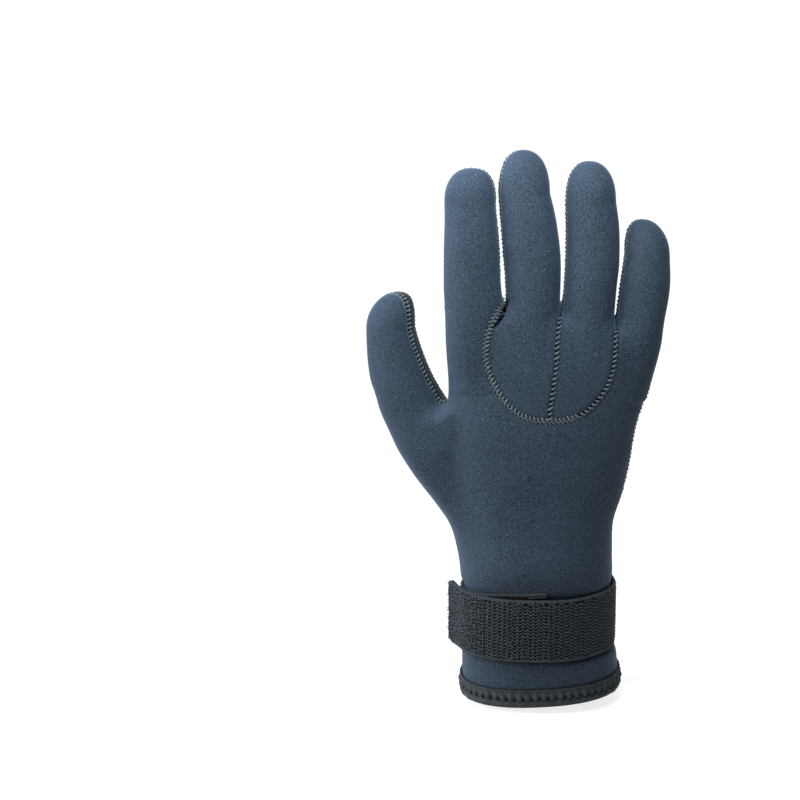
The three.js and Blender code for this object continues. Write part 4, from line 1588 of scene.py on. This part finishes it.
BINDING_OUT = 1.15  # how far the binding's face lies outside the neoprene
BINDING_MIDDLE = 5.0
TAPE_TOP = 9.2
FULL_TURN = 4000  # steps round the cuff to find the place of a stitch
BINDING_STEPS, BINDING_STEPS_QUICK = 1100, 620
HOLE_HEIGHT = 4.4
JOIN_DEGREES, JOIN_REACH = 38.0, 6.0  # where the two ends of the tape overlap, and how far
TAPE_WOBBLE = ((0.12, 23, 0), (0.1, 37, 1))  # height, waves round the cuff and their start
STITCH_SPREAD = 0.05, 0.33  # in puffs: from the hole to a thread's start, and its fanning out
BINDING_TOP = table(
    "distance height",
    [
        (1.1, 9.0), (0.95, 9.25), (0.7, 9.35), (0.45, 9.2), (0.3, 8.6), (0.3, 6.0), (0.3, 2.0),
        (0.0, 1.2), (-3.0, 1.2), (-3.3, 2.0), (-3.3, 6.0), (-3.35, 8.8), (-3.6, 9.3), (-4.0, 9.4),
        (-4.4, 9.0), (-4.5, 6.0), (-4.5, 2.0), (-4.3, 0.9), (-3.4, 0.1), (-1.5, -0.1), (0.2, 0.0),
        (0.9, 0.4),
    ],
)


def binding_profile():
    """The section of the folded tape: its outer face in fine steps, then over the top and inside."""
    height = np.arange(1.0, 8.9, 0.34)
    distance = BINDING_OUT - 0.3 * np.clip((1.8 - height) / 0.8, 0, 1) ** 2
    return (
        np.concatenate([distance, BINDING_TOP["distance"]]),
        np.concatenate([height, BINDING_TOP["height"]]),
    )


def cuff_oval(degrees, z, distance):
    """Points of the cuff's oval at some angles and heights, let out by a distance."""
    cx, cy, a, b, *_ = TRUNK.section(z)
    a, b = a + distance, b + distance
    angle = np.radians(degrees)
    c, s = np.cos(angle), np.sin(angle)
    reach = oval_reach(c, s, TRUNK.power)
    return cx + a * c * reach, cy + b * s * reach


def even_angles(z, distance, count):
    """Angles round the cuff at even spacing along its oval, and the whole way round it."""
    fine = np.linspace(0, 360, 2881)
    x, y = cuff_oval(fine, np.full(fine.shape, z), distance)
    along = run_length(np.hypot(np.diff(x), np.diff(y)))
    return np.interp(np.linspace(0, along[-1], count, endpoint=False), along, fine), along[-1]


def angle_at(share, angles):
    """The angle at a share of the way round the cuff."""
    return np.interp(share * FULL_TURN, np.arange(FULL_TURN), angles)


def on_tape(degrees, height, distance):
    """Points on the binding, which follows the slope of the cuff's mouth."""
    x, y = cuff_oval(degrees, np.maximum(height, 0), distance)
    return np.stack([x, y, height + MOUTH_SLOPE * x], axis=-1)


def tube_faces(rings, sides, closed):
    """Four-sided faces between rings of points, each ring a closed loop."""
    i = np.arange(rings if closed else rings - 1)[:, None]
    k = np.arange(sides)[None, :]
    j, m = (i + 1) % rings, (k + 1) % sides
    return np.stack([i * sides + k, j * sides + k, j * sides + m, i * sides + m], axis=-1).reshape(-1, 4)


def binding_face(along, height, puffs):
    """How far the binding's face stands out, between its zigzag stitches."""
    phase = along * puffs  # one whole number for each stitch
    beside = np.abs((phase + 0.5) % 1 - 0.5)
    above = np.clip(height - HOLE_HEIGHT, 0, None)
    zone = between(3.6, 4.6, height) * (1 - between(8.0, 9.3, height))
    pillow = np.sin(math.pi * beside) ** 0.7 * (1 - 0.8 * between(0.4, 4.4, above))
    groove = np.exp(-(((beside - 0.05 - 0.075 * above) / 0.07) ** 2)) * between(0.3, 1.5, above)
    hole = np.exp(-((beside / 0.2) ** 4) - np.abs((height - HOLE_HEIGHT) / 0.8) ** 3)
    waist = np.exp(-(((height - 3.6) / 0.6) ** 2))
    roll = between(0.4, 1.6, height) * (1 - between(2.4, 3.8, height))
    return (1.15 * pillow - 0.4 * groove - 0.5) * zone - 2.5 * hole - 0.5 * waist + 0.25 * roll


def join_lump(degrees):
    """How much the overlapping ends thicken the tape."""
    return np.exp(-((((degrees - JOIN_DEGREES) + 180) % 360 - 180) / JOIN_REACH) ** 2)


class GLOVE_OT_binding(bpy.types.Operator):
    """Fold the binding tape round the cuff mouth and sew it down in a zigzag"""

    bl_idname = "glove.binding"
    bl_label = "Cuff Binding"

    def execute(self, context):
        sizes = context.scene.glove_sizes
        count = BINDING_STEPS
        angles, around = even_angles(BINDING_MIDDLE, BINDING_OUT, count)
        puffs = round(around / in_mm(sizes.puff_pitch))
        distance, height = binding_profile()
        along = np.arange(count)[:, None] / count
        face = (distance[None, :] > 0.6) & (height[None, :] > 0.3)
        lump = join_lump(angles)[:, None]
        wobble = sum(
            lift * np.sin(along * 2 * math.pi * waves + start) for lift, waves, start in TAPE_WOBBLE
        )
        shape = binding_face(along, height[None, :], puffs) * (1 - 0.6 * lump)
        out = distance + np.where(face, shape + wobble + 0.8 * lump, 0)
        heights = height[None, :] - 0.9 * lump * (height[None, :] < 2.5)
        points = on_tape(angles[:, None], heights, out).reshape(-1, 3)
        faces = tube_faces(count, len(distance), True)
        piece = add_piece("cuff_binding", points, faces, finish_of("tape"), sharp=math.radians(80))
        settle(piece, "binding_tape", "hem_binding")
        self.sew(puffs)
        self.edge_thread_and_painted_shade(puffs)
        return {"FINISHED"}

    def edge_thread_and_painted_shade(self, puffs):
        """A black thread along the tape's top edge, partly a real edge thread and partly a painted
        shadow line under the rim, and black bars in its holes that are painted shade to make the holes
        dark.
        """
        # The black top-edge thread is partly real thread and partly a painted shadow line along the rim.
        angles, _ = even_angles(TAPE_TOP, 0.6, 360)
        x, y = cuff_oval(angles, np.full(angles.shape, TAPE_TOP), 0.45)
        height = TAPE_TOP + 0.25 + 0.1 * np.sin(np.arange(360) * 0.9) + MOUTH_SLOPE * x
        lines = [(np.stack([x, y, height], axis=1), True)]
        fine, _ = even_angles(BINDING_MIDDLE, BINDING_OUT, FULL_TURN)
        height = HOLE_HEIGHT + np.array([-0.45, 0.0, 0.45])
        # Black bars in each hole: painted shade that darkens the holes.
        for puff in range(puffs):
            angle = np.full(3, angle_at(puff / puffs, fine))
            lines.append((on_tape(angle, height, BINDING_OUT - 0.75), False))
        sewn("binding_edge_thread_and_painted_shade", "binding_tape", lines, 0.0004, sides=6, finish="webbing")

    def sew(self, puffs):
        """Two threads from each hole that fan out to the tape's top edge."""
        lines = []
        share = np.linspace(0, 1, 8)
        fine, _ = even_angles(BINDING_MIDDLE, BINDING_OUT, FULL_TURN)
        for puff in range(puffs):
            for side in (-1, 1):
                phase = puff + side * (STITCH_SPREAD[0] + STITCH_SPREAD[1] * share)
                height = HOLE_HEIGHT + 0.2 + (8.9 - HOLE_HEIGHT) * share
                along = (phase / puffs) % 1
                out = BINDING_OUT + binding_face(along, height, puffs) + 0.08
                lines.append((on_tape(angle_at(along, fine), height, out), False))
        sewn("binding_zigzag_thread", "binding_tape", lines, 0.00016, sides=4, finish="selvedge")


# Wrist strap

STRAP_BOTTOM = 24.0
STRAP_MIDDLE = STRAP_BOTTOM + 16.0
STRAP_GAP = 0.35
STRAP_THICKNESS = 2.0
STRAP_START, STRAP_LEAVE = -86.0, -520.0
TAB_LENGTH = 13.0
TAB_FLARE = 0.10  # how far the free end turns outwards, as a share of its length
OVER_HOOKS = 0.7  # how much further out the strap runs over its hook tape
STITCH_X = -27.6  # where the line of stitches crosses the front of the strap
PILE_START = 46.0
STATION_STEP = 0.5
BODY_ROWS = 44  # points across the webbing
CUT_RISE, CUT_LENGTH = 1.2, 4  # of the lower corner at the free end
OUTER_LAP = 200  # the way along the strap after which it may cross the stitches
FIRST_RIB, ARM_PLACE = 0.62, 0.24  # of a rib: from the stitches, and each arm from its middle
LOOSE, TIGHT = 0.3, 0.09  # scatter of the loops beyond the line of stitches, and before it
JUMBLE = 0.45, 0.06  # how far they are turned at random, there and before it
ARM_WAY = 0.66, 0.72, 0.42  # way of a rib's arms: aside, up, and in towards the cuff
ARM_SINK = 0.48  # how much deeper one arm lies on the little finger's side
STITCH_GROOVE = 0.75  # half the width of the bare groove along the stitches
UPWARD = np.array([0.0, 0.0, 1.0])
FROM_START, TO_END = (-2, -1), (998, 999)
STRAP_OFFSETS = (
    # How far out it is lifted, and the degrees along it between which that begins and ends
    (STRAP_THICKNESS + STRAP_GAP, 310, 355, *TO_END),
    (OVER_HOOKS, 362, 400, *TO_END),
    (0.9, 225, 265, 285, 330),
)
STRAP_RISES = (
    # The same for how far up it is raised
    (2.3, *FROM_START, 26, 58),
    (1.2, *FROM_START, 0, 24),
    (-1.2, 56, 84, 120, 150),
    (0.9, 190, 255, 290, 352),
)


def lifted_by(rows, turned, total=0.0):
    """The sum of some lifts at some degrees along the strap."""
    for lift, start, full, falling, end in rows:
        total = total + lift * between(start, full, turned) * (1 - between(falling, end, turned))
    return total


def strap_stations():
    """Even stations along the strap: inner face, ways out of it, how far it is raised, length."""
    degrees = np.arange(STRAP_START, STRAP_LEAVE - 0.01, -1.0)
    turned = STRAP_START - degrees
    lifted = lifted_by(STRAP_OFFSETS, turned, STRAP_GAP)
    x, y = cuff_oval(degrees, np.full(degrees.shape, STRAP_MIDDLE), lifted)
    rise = lifted_by(STRAP_RISES, turned)
    way = np.array([x[-1] - x[-4], y[-1] - y[-4]])
    way /= np.linalg.norm(way)
    ahead = np.linspace(0, TAB_LENGTH, 14)[1:]
    flare = TAB_FLARE * ahead**2 / TAB_LENGTH
    x = np.concatenate([x, x[-1] + way[0] * ahead - way[1] * flare])
    y = np.concatenate([y, y[-1] + way[1] * ahead + way[0] * flare])
    rise = np.concatenate([rise, np.zeros(len(ahead))])
    along = run_length(np.hypot(np.diff(x), np.diff(y)))
    at = np.linspace(0, along[-1], int(round(along[-1] / STATION_STEP)) + 1)
    x, y, rise = (np.interp(at, along, v) for v in (x, y, rise))
    for _ in range(3):
        for v in (x, y):
            v[1:-1] = (v[:-2] + 2 * v[1:-1] + v[2:]) / 4
    way_x, way_y = np.gradient(x), np.gradient(y)
    size = np.hypot(way_x, way_y)
    out = np.stack([-way_y / size, way_x / size], axis=1)
    return np.stack([x, y], axis=1), out, rise, at


def strap_frame(stations, at):
    """The ways along the strap and out of its face, at some places along it."""
    _, out, _, along = stations
    outward = np.stack([np.interp(at, along, out[:, k]) for k in (0, 1)] + [np.zeros(len(at))], axis=1)
    forward = np.stack([outward[:, 1], -outward[:, 0], outward[:, 2]], axis=1)
    return forward, outward


def strap_point(stations, at, distance, height):
    """A point on the strap: how far along, how far out of its inner face, and how high."""
    line, out, rise, along = stations
    x = np.interp(at, along, line[:, 0]) + np.interp(at, along, out[:, 0]) * distance
    y = np.interp(at, along, line[:, 1]) + np.interp(at, along, out[:, 1]) * distance
    z = STRAP_BOTTOM + height + np.interp(at, along, rise)
    return np.stack([x, y, z], axis=-1)


def end_cut(at, total):
    """How far the strap's lower edge is cut up towards the corner of its free end."""
    return CUT_RISE * between(total - CUT_LENGTH, total, at)


def stitch_place(stations):
    """Where along the outer lap the line of stitches lies."""
    line, _, _, at = stations
    outer = at > OUTER_LAP
    return at[outer][np.argmin(np.abs(line[outer, 0] - STITCH_X) + 100 * (line[outer, 1] > 0))]


class GLOVE_OT_strap(bpy.types.Operator):
    """Weave the wrist strap: webbing body, pile loops, selvedges, stitch line and frayed end"""

    bl_idname = "glove.strap"
    bl_label = "Wrist Strap"

    def execute(self, context):
        sizes = context.scene.glove_sizes
        stations = strap_stations()
        total = stations[3][-1]
        self.body(sizes, stations, total)
        self.pile(sizes, stations, total)
        self.edges(sizes, stations, total)
        self.fray(stations, total)
        return {"FINISHED"}

    def body(self, sizes, stations, total):
        """The woven band, thinner at its edges and torn a little at its free end."""
        width, thick = in_mm(sizes.strap_width), in_mm(sizes.strap_body)
        share = np.linspace(0, 1, BODY_ROWS)
        edge = np.minimum(share, 1 - share) * width
        face = thick * (0.55 + 0.45 * between(0.2, 1.6, edge))
        inner, outer = (np.stack([out, share * width], axis=1) for out in (np.zeros(BODY_ROWS), face))
        profile = np.concatenate([inner, outer[::-1]])
        profile[0, 0] = profile[BODY_ROWS - 1, 0] = 0.18
        at = stations[3]
        distance = np.broadcast_to(profile[:, 0], (len(at), len(profile)))
        low = end_cut(at, total)[:, None]
        height = low + profile[:, 1][None, :] * (1 - low / width)
        ragged = np.zeros((len(at), len(profile)))
        torn = np.random.default_rng(7).normal(0, 0.25, BODY_ROWS)
        ragged[-1] = np.concatenate([torn, torn[::-1]])
        points = strap_point(stations, at[:, None] + ragged, distance, height)
        way, _ = strap_frame(stations, at[-1:])
        points[-1] += way * np.maximum(ragged[-1], 0)[:, None]
        count, sides = points.shape[:2]
        quads = tube_faces(count, sides, False)
        strips = np.arange(BODY_ROWS - 1)
        first = np.stack([strips, strips + 1, sides - 2 - strips, sides - 1 - strips], axis=1)
        final = first[:, ::-1] + (count - 1) * sides
        piece = add_piece(
            "wrist_webbing", points.reshape(-1, 3), np.concatenate([quads, first, final]),
            finish_of("webbing"), sharp=math.radians(50),
        )
        settle(piece, "loop_webbing", "wrist_strap")

    def pile(self, sizes, stations, total):
        """Ribs of yarn loops over the outer face: each row a chevron that points up."""
        width, thick = in_mm(sizes.strap_width), in_mm(sizes.strap_body)
        rib, row = in_mm(sizes.pile_rib), in_mm(sizes.pile_row)
        line = stitch_place(stations)
        ribs = line + rib * FIRST_RIB + rib * np.arange(-120, 40)
        ribs = ribs[(ribs > PILE_START) & (ribs < total - 0.8)]
        rows = np.arange(1.6, width - 1.2, row)
        rng = np.random.default_rng(11)
        places, heights, sides = [], [], []
        for middle in ribs:
            shift = rng.uniform(-0.35, 0.35) * row
            for side in (-1, 1):
                loose = LOOSE if middle > line + 1 else TIGHT
                places.append(middle + side * rib * ARM_PLACE + rng.normal(0, loose, len(rows)))
                heights.append(rows + shift + rng.normal(0, loose * 0.7, len(rows)))
                sides.append(np.full(len(rows), side))
        at, height, side = (np.concatenate(v) for v in (places, heights, sides))
        keep = (at < total - 0.3) & (height > end_cut(at, total) + 1.2) & (height < width - 1.4)
        keep &= np.abs(at - line) > STITCH_GROOVE
        at, height, side = at[keep], height[keep], side[keep][:, None]
        forward, outward = strap_frame(stations, at)
        jumble = np.where(at > line + 1, *JUMBLE)[:, None] * rng.normal(0, 1, (len(at), 3))
        aside, up, down = ARM_WAY
        along = forward * side * aside + UPWARD * up - outward * down + jumble
        facing_way = outward + forward * side * 0.35
        across = np.interp(at, stations[3], stations[0][:, 0])
        sunk_arm = ARM_SINK * between(2, 14, across) * (side[:, 0] < 0)
        points = strap_point(stations, at, thick + 0.12 - sunk_arm, height)
        vectors = {"outward": facing_way, "along": along}
        napped("wrist_webbing_pile", "loop_webbing", points, vectors, (0.0014, 0.00055, 0.0002), "yarn")

    def edges(self, sizes, stations, total):
        """Beaded selvedges, the line of stitches over the strap's start and its whipped end."""
        width, thick = in_mm(sizes.strap_width), in_mm(sizes.strap_body)
        rows = []
        at = np.arange(0.4, total - 0.3, 0.95)
        for height, slant in ((0.25, 0.5), (0.85, -0.5), (width - 0.85, 0.5), (width - 0.25, -0.5)):
            low = end_cut(at, total) if height < 2 else 0.0 * at
            proud = thick * (0.62 if min(height, width - height) < 0.5 else 0.9)
            rows.append((at, height + low, proud, slant, 1.0))
        stitches, whipping = np.arange(2.2, width - 1.6, 1.3), np.arange(0.6, 9.0, 0.85)
        rows += [
            # Place along, height, distance, slant and steepness of the stitches
            (stitch_place(stations), stitches, thick + 0.28, 0.0, 9.0),
            (whipping, width - 0.9, thick, -1.0, 1.6),
            (whipping, width - 2.2, thick, -1.0, 1.6),
            (0.35, np.arange(1.0, width - 1.0, 0.85), thick * 0.6, 0.0, 0.4),
        ]
        points, outs, alongs = [], [], []
        for at, height, distance, slant, steep in rows:
            at, height, distance = np.broadcast_arrays(at, height, distance)
            forward, outward = strap_frame(stations, at)
            points.append(strap_point(stations, at, distance, height))
            outs.append(outward)
            alongs.append(forward + UPWARD * (slant * steep if slant else steep))
        vectors = {"outward": np.concatenate(outs), "along": np.concatenate(alongs)}
        napped(
            "wrist_webbing_selvedges", "loop_webbing", np.concatenate(points), vectors,
            (0.0007, 0.00022, 0.00027), "selvedge",
        )

    def fray(self, stations, total):
        """Loose ends of yarn at the cut end of the strap."""
        rng = np.random.default_rng(3)
        way, _ = strap_frame(stations, np.array([total]))
        lines = []
        for _ in range(150):
            height, depth = rng.uniform(1.6, 31.8), rng.uniform(0.1, 1.5)
            length_, bend = rng.uniform(0.3, 1.3), rng.normal(0, 0.35, 2)
            points = []
            for t in (0, 1 / 3, 2 / 3, 1):
                at = total - 0.3 + length_ * t
                out, up = depth + bend[0] * t * t, height + bend[1] * t * t
                base = strap_point(stations, min(at, total), out, up)
                points.append(base + way[0] * max(at - total, 0))
            lines.append((np.array(points), False))
        sewn("wrist_webbing_fray", "loop_webbing", lines, 0.00014, sides=4, finish="yarn")


HOOK_SECTION = table(
    "distance share",
    [(-0.15, 0.0), (-0.05, 0.02), (-0.05, 0.98), (-0.15, 1.0), (-0.5, 1.0), (-0.5, 0.0)],
)
HOOK_MARGIN = 2.0  # from the strap's edges
HOOK_START, HOOK_END = 0.5, 0.6  # from the line of stitches and from the free end
HOOK_WIDEN, WIDEN_FROM, WIDEN_TO = 2.5, 15, 1  # the tape grows wider over these last stretches


class GLOVE_OT_hooks(bpy.types.Operator):
    """Lay the hook tape on the inner face of the strap's free end"""

    bl_idname = "glove.hooks"
    bl_label = "Hook Patch"

    def execute(self, context):
        sizes = context.scene.glove_sizes
        stations = strap_stations()
        total = stations[3][-1]
        width = in_mm(sizes.strap_width)
        start, end = stitch_place(stations) + HOOK_START, total - HOOK_END
        at = np.arange(start, end + 0.01, 0.8)

        def height(at, share):
            widened = HOOK_WIDEN * between(total - WIDEN_FROM, total - WIDEN_TO, at)
            top = width - HOOK_MARGIN + widened
            return HOOK_MARGIN + (top - HOOK_MARGIN) * share

        heights = height(at[:, None], HOOK_SECTION["share"][None, :])
        points = strap_point(stations, at[:, None], HOOK_SECTION["distance"][None, :], heights)
        count, sides = points.shape[:2]
        quads = tube_faces(count, sides, False)
        caps = [list(range(sides)), [(count - 1) * sides + k for k in reversed(range(sides))]]
        piece = add_piece(
            "hook_tape", points.reshape(-1, 3), [quads, np.array(caps)], finish_of("hook"),
            sharp=math.radians(40),
        )
        settle(piece, "hook_tape", "hook_patch")
        places, shares = np.arange(total - 13, end - 0.5, 0.85), np.arange(0.04, 0.97, 0.032)
        at, share = (v.ravel() for v in np.meshgrid(places, shares, indexing="ij"))
        rng = np.random.default_rng(5)
        at = at + rng.normal(0, 0.12, at.shape)
        forward, outward = strap_frame(stations, at)
        points = strap_point(stations, at, np.full(at.shape, -0.5), height(at, share))
        along = UPWARD + forward * rng.normal(0, 0.6, (len(at), 1))
        vectors = {"outward": -outward, "along": along}
        napped("hook_tape_hooks", "hook_tape", points, vectors, (0.0009, 0.00026, 0.00015), "yarn")
        share = np.linspace(0.04, 0.94, 30)
        at = np.full(share.shape, total - 3.2)
        line = strap_point(stations, at, np.full(share.shape, -0.55), height(at, share))
        sewn("hook_tape_line", "hook_tape", [(line, False)], 0.0004, sides=6, finish="dots")
        return {"FINISHED"}


class GLOVE_OT_stage(bpy.types.Operator):
    """Set up the pale floor, the soft studio light and the camera"""

    bl_idname = "glove.stage"
    bl_label = "Stage"

    LOOK_AT = (-0.07, 0.0, 0.15)
    IMAGE_WIDTH, FOCAL_LENGTH = 800, 2100  # pixels
    FLOOR_HEIGHT = -0.0032

    def execute(self, context):
        stage = context.scene.glove_stage
        self.floor(stage)
        self.lights()
        camera = added("camera", bpy.data.cameras.new("camera"))
        camera.data.sensor_width = 36
        camera.data.angle = 2 * math.atan(self.IMAGE_WIDTH / 2 / self.FOCAL_LENGTH)
        camera.data.clip_start, camera.data.clip_end = 0.05, 20
        back = Vector((0, -math.cos(stage.elevation), math.sin(stage.elevation)))
        camera.location = Vector(self.LOOK_AT) + back * stage.distance
        camera.rotation_euler = (-back).to_track_quat("-Z", "Y").to_euler()
        context.scene.camera = camera
        return {"FINISHED"}

    def floor(self, stage):
        """A wide pale table under the glove."""
        half = 60.0
        corners = [(-half, -half), (half, -half), (half, half), (-half, half)]
        mesh = bpy.data.meshes.new("floor")
        mesh.from_pydata([(x, y, self.FLOOR_HEIGHT) for x, y in corners], [], [(0, 1, 2, 3)])
        mesh.materials.append(plain_finish("pale_floor", stage.floor_colour, stage.floor_glow))
        floor = added("floor", mesh)

    def lights(self):
        """A soft sky, two small lights near the glove and two wide suns."""
        world = bpy.data.worlds.new("soft_sky")
        world.use_nodes = True
        nodes = Nodes(world.node_tree)
        sky = world.node_tree.nodes["Background"]
        sky.inputs["Color"].default_value = (0.96, 0.98, 1, 1)
        seen = nodes.add("ShaderNodeLightPath").outputs["Is Camera Ray"]
        nodes.give(sky.inputs["Strength"], nodes.plus(nodes.times(seen, 0.85), 0.2))
        bpy.context.scene.world = world
        bpy.context.scene.view_settings.view_transform = "Standard"
        soft, middle = math.radians(60), (0.0, 0.0, 0.0)
        for name, kind, place, towards, size, power, colour in (
            ("key", "AREA", (-0.42, 0.02, 0.42), (-0.02, 0.0, 0.15), 0.3, 4.0, (0.62, 0.75, 1.0)),
            ("top", "AREA", (-0.02, -0.105, 0.415), (-0.01, 0.0, 0.2), 0.15, 1.65, (0.8, 0.92, 1.0)),
            ("side", "SUN", (-2.0, -0.3, 0.8), middle, soft, 4.4, (1.0, 1.0, 0.96)),
            ("back", "SUN", (0.5, 2.0, 1.2), middle, soft, 1.6, (0.9, 0.95, 1.0)),
        ):
            data = bpy.data.lights.new(name, kind)
            data.energy, data.color = power, colour
            if kind == "SUN":
                data.angle = size
            else:
                data.size = size
            light = added(name, data)
            light.location = place
            light.rotation_euler = (Vector(place) - Vector(towards)).to_track_quat("Z", "Y").to_euler()


class GLOVE_PT_panel(bpy.types.Panel):
    """The glove's pieces, in the order in which they are made."""

    bl_idname = "GLOVE_PT_panel"
    bl_label = "Boating Glove"
    bl_space_type = "VIEW_3D"
    bl_region_type = "UI"
    bl_category = "Glove"

    def draw(self, context):
        layout = self.layout
        for operator in OPERATORS:
            layout.operator(operator.bl_idname)
        for settings in (context.scene.glove_sizes, context.scene.glove_look, context.scene.glove_stage):
            box = layout.box()
            for key in settings.__annotations__:
                box.prop(settings, key)


OPERATORS = (
    GLOVE_OT_panels,
    GLOVE_OT_seams,
    GLOVE_OT_grip,
    GLOVE_OT_binding,
    GLOVE_OT_strap,
    GLOVE_OT_hooks,
    GLOVE_OT_stage,
)
CLASSES = (GloveSizes, GloveLook, GloveStage, *OPERATORS, GLOVE_PT_panel)


def register():
    for cls in CLASSES:
        bpy.utils.register_class(cls)
    bpy.types.Scene.glove_sizes = PointerProperty(type=GloveSizes)
    bpy.types.Scene.glove_look = PointerProperty(type=GloveLook)
    bpy.types.Scene.glove_stage = PointerProperty(type=GloveStage)


def unregister():
    for key in ("glove_sizes", "glove_look", "glove_stage"):
        delattr(bpy.types.Scene, key)
    for cls in reversed(CLASSES):
        bpy.utils.unregister_class(cls)


def main():
    register()
    bpy.ops.glove.panels()
    bpy.ops.glove.seams()
    bpy.ops.glove.grip()
    bpy.ops.glove.binding()
    bpy.ops.glove.strap()
    bpy.ops.glove.hooks()
    bpy.ops.glove.stage()


if __name__ == "__main__":
    main()
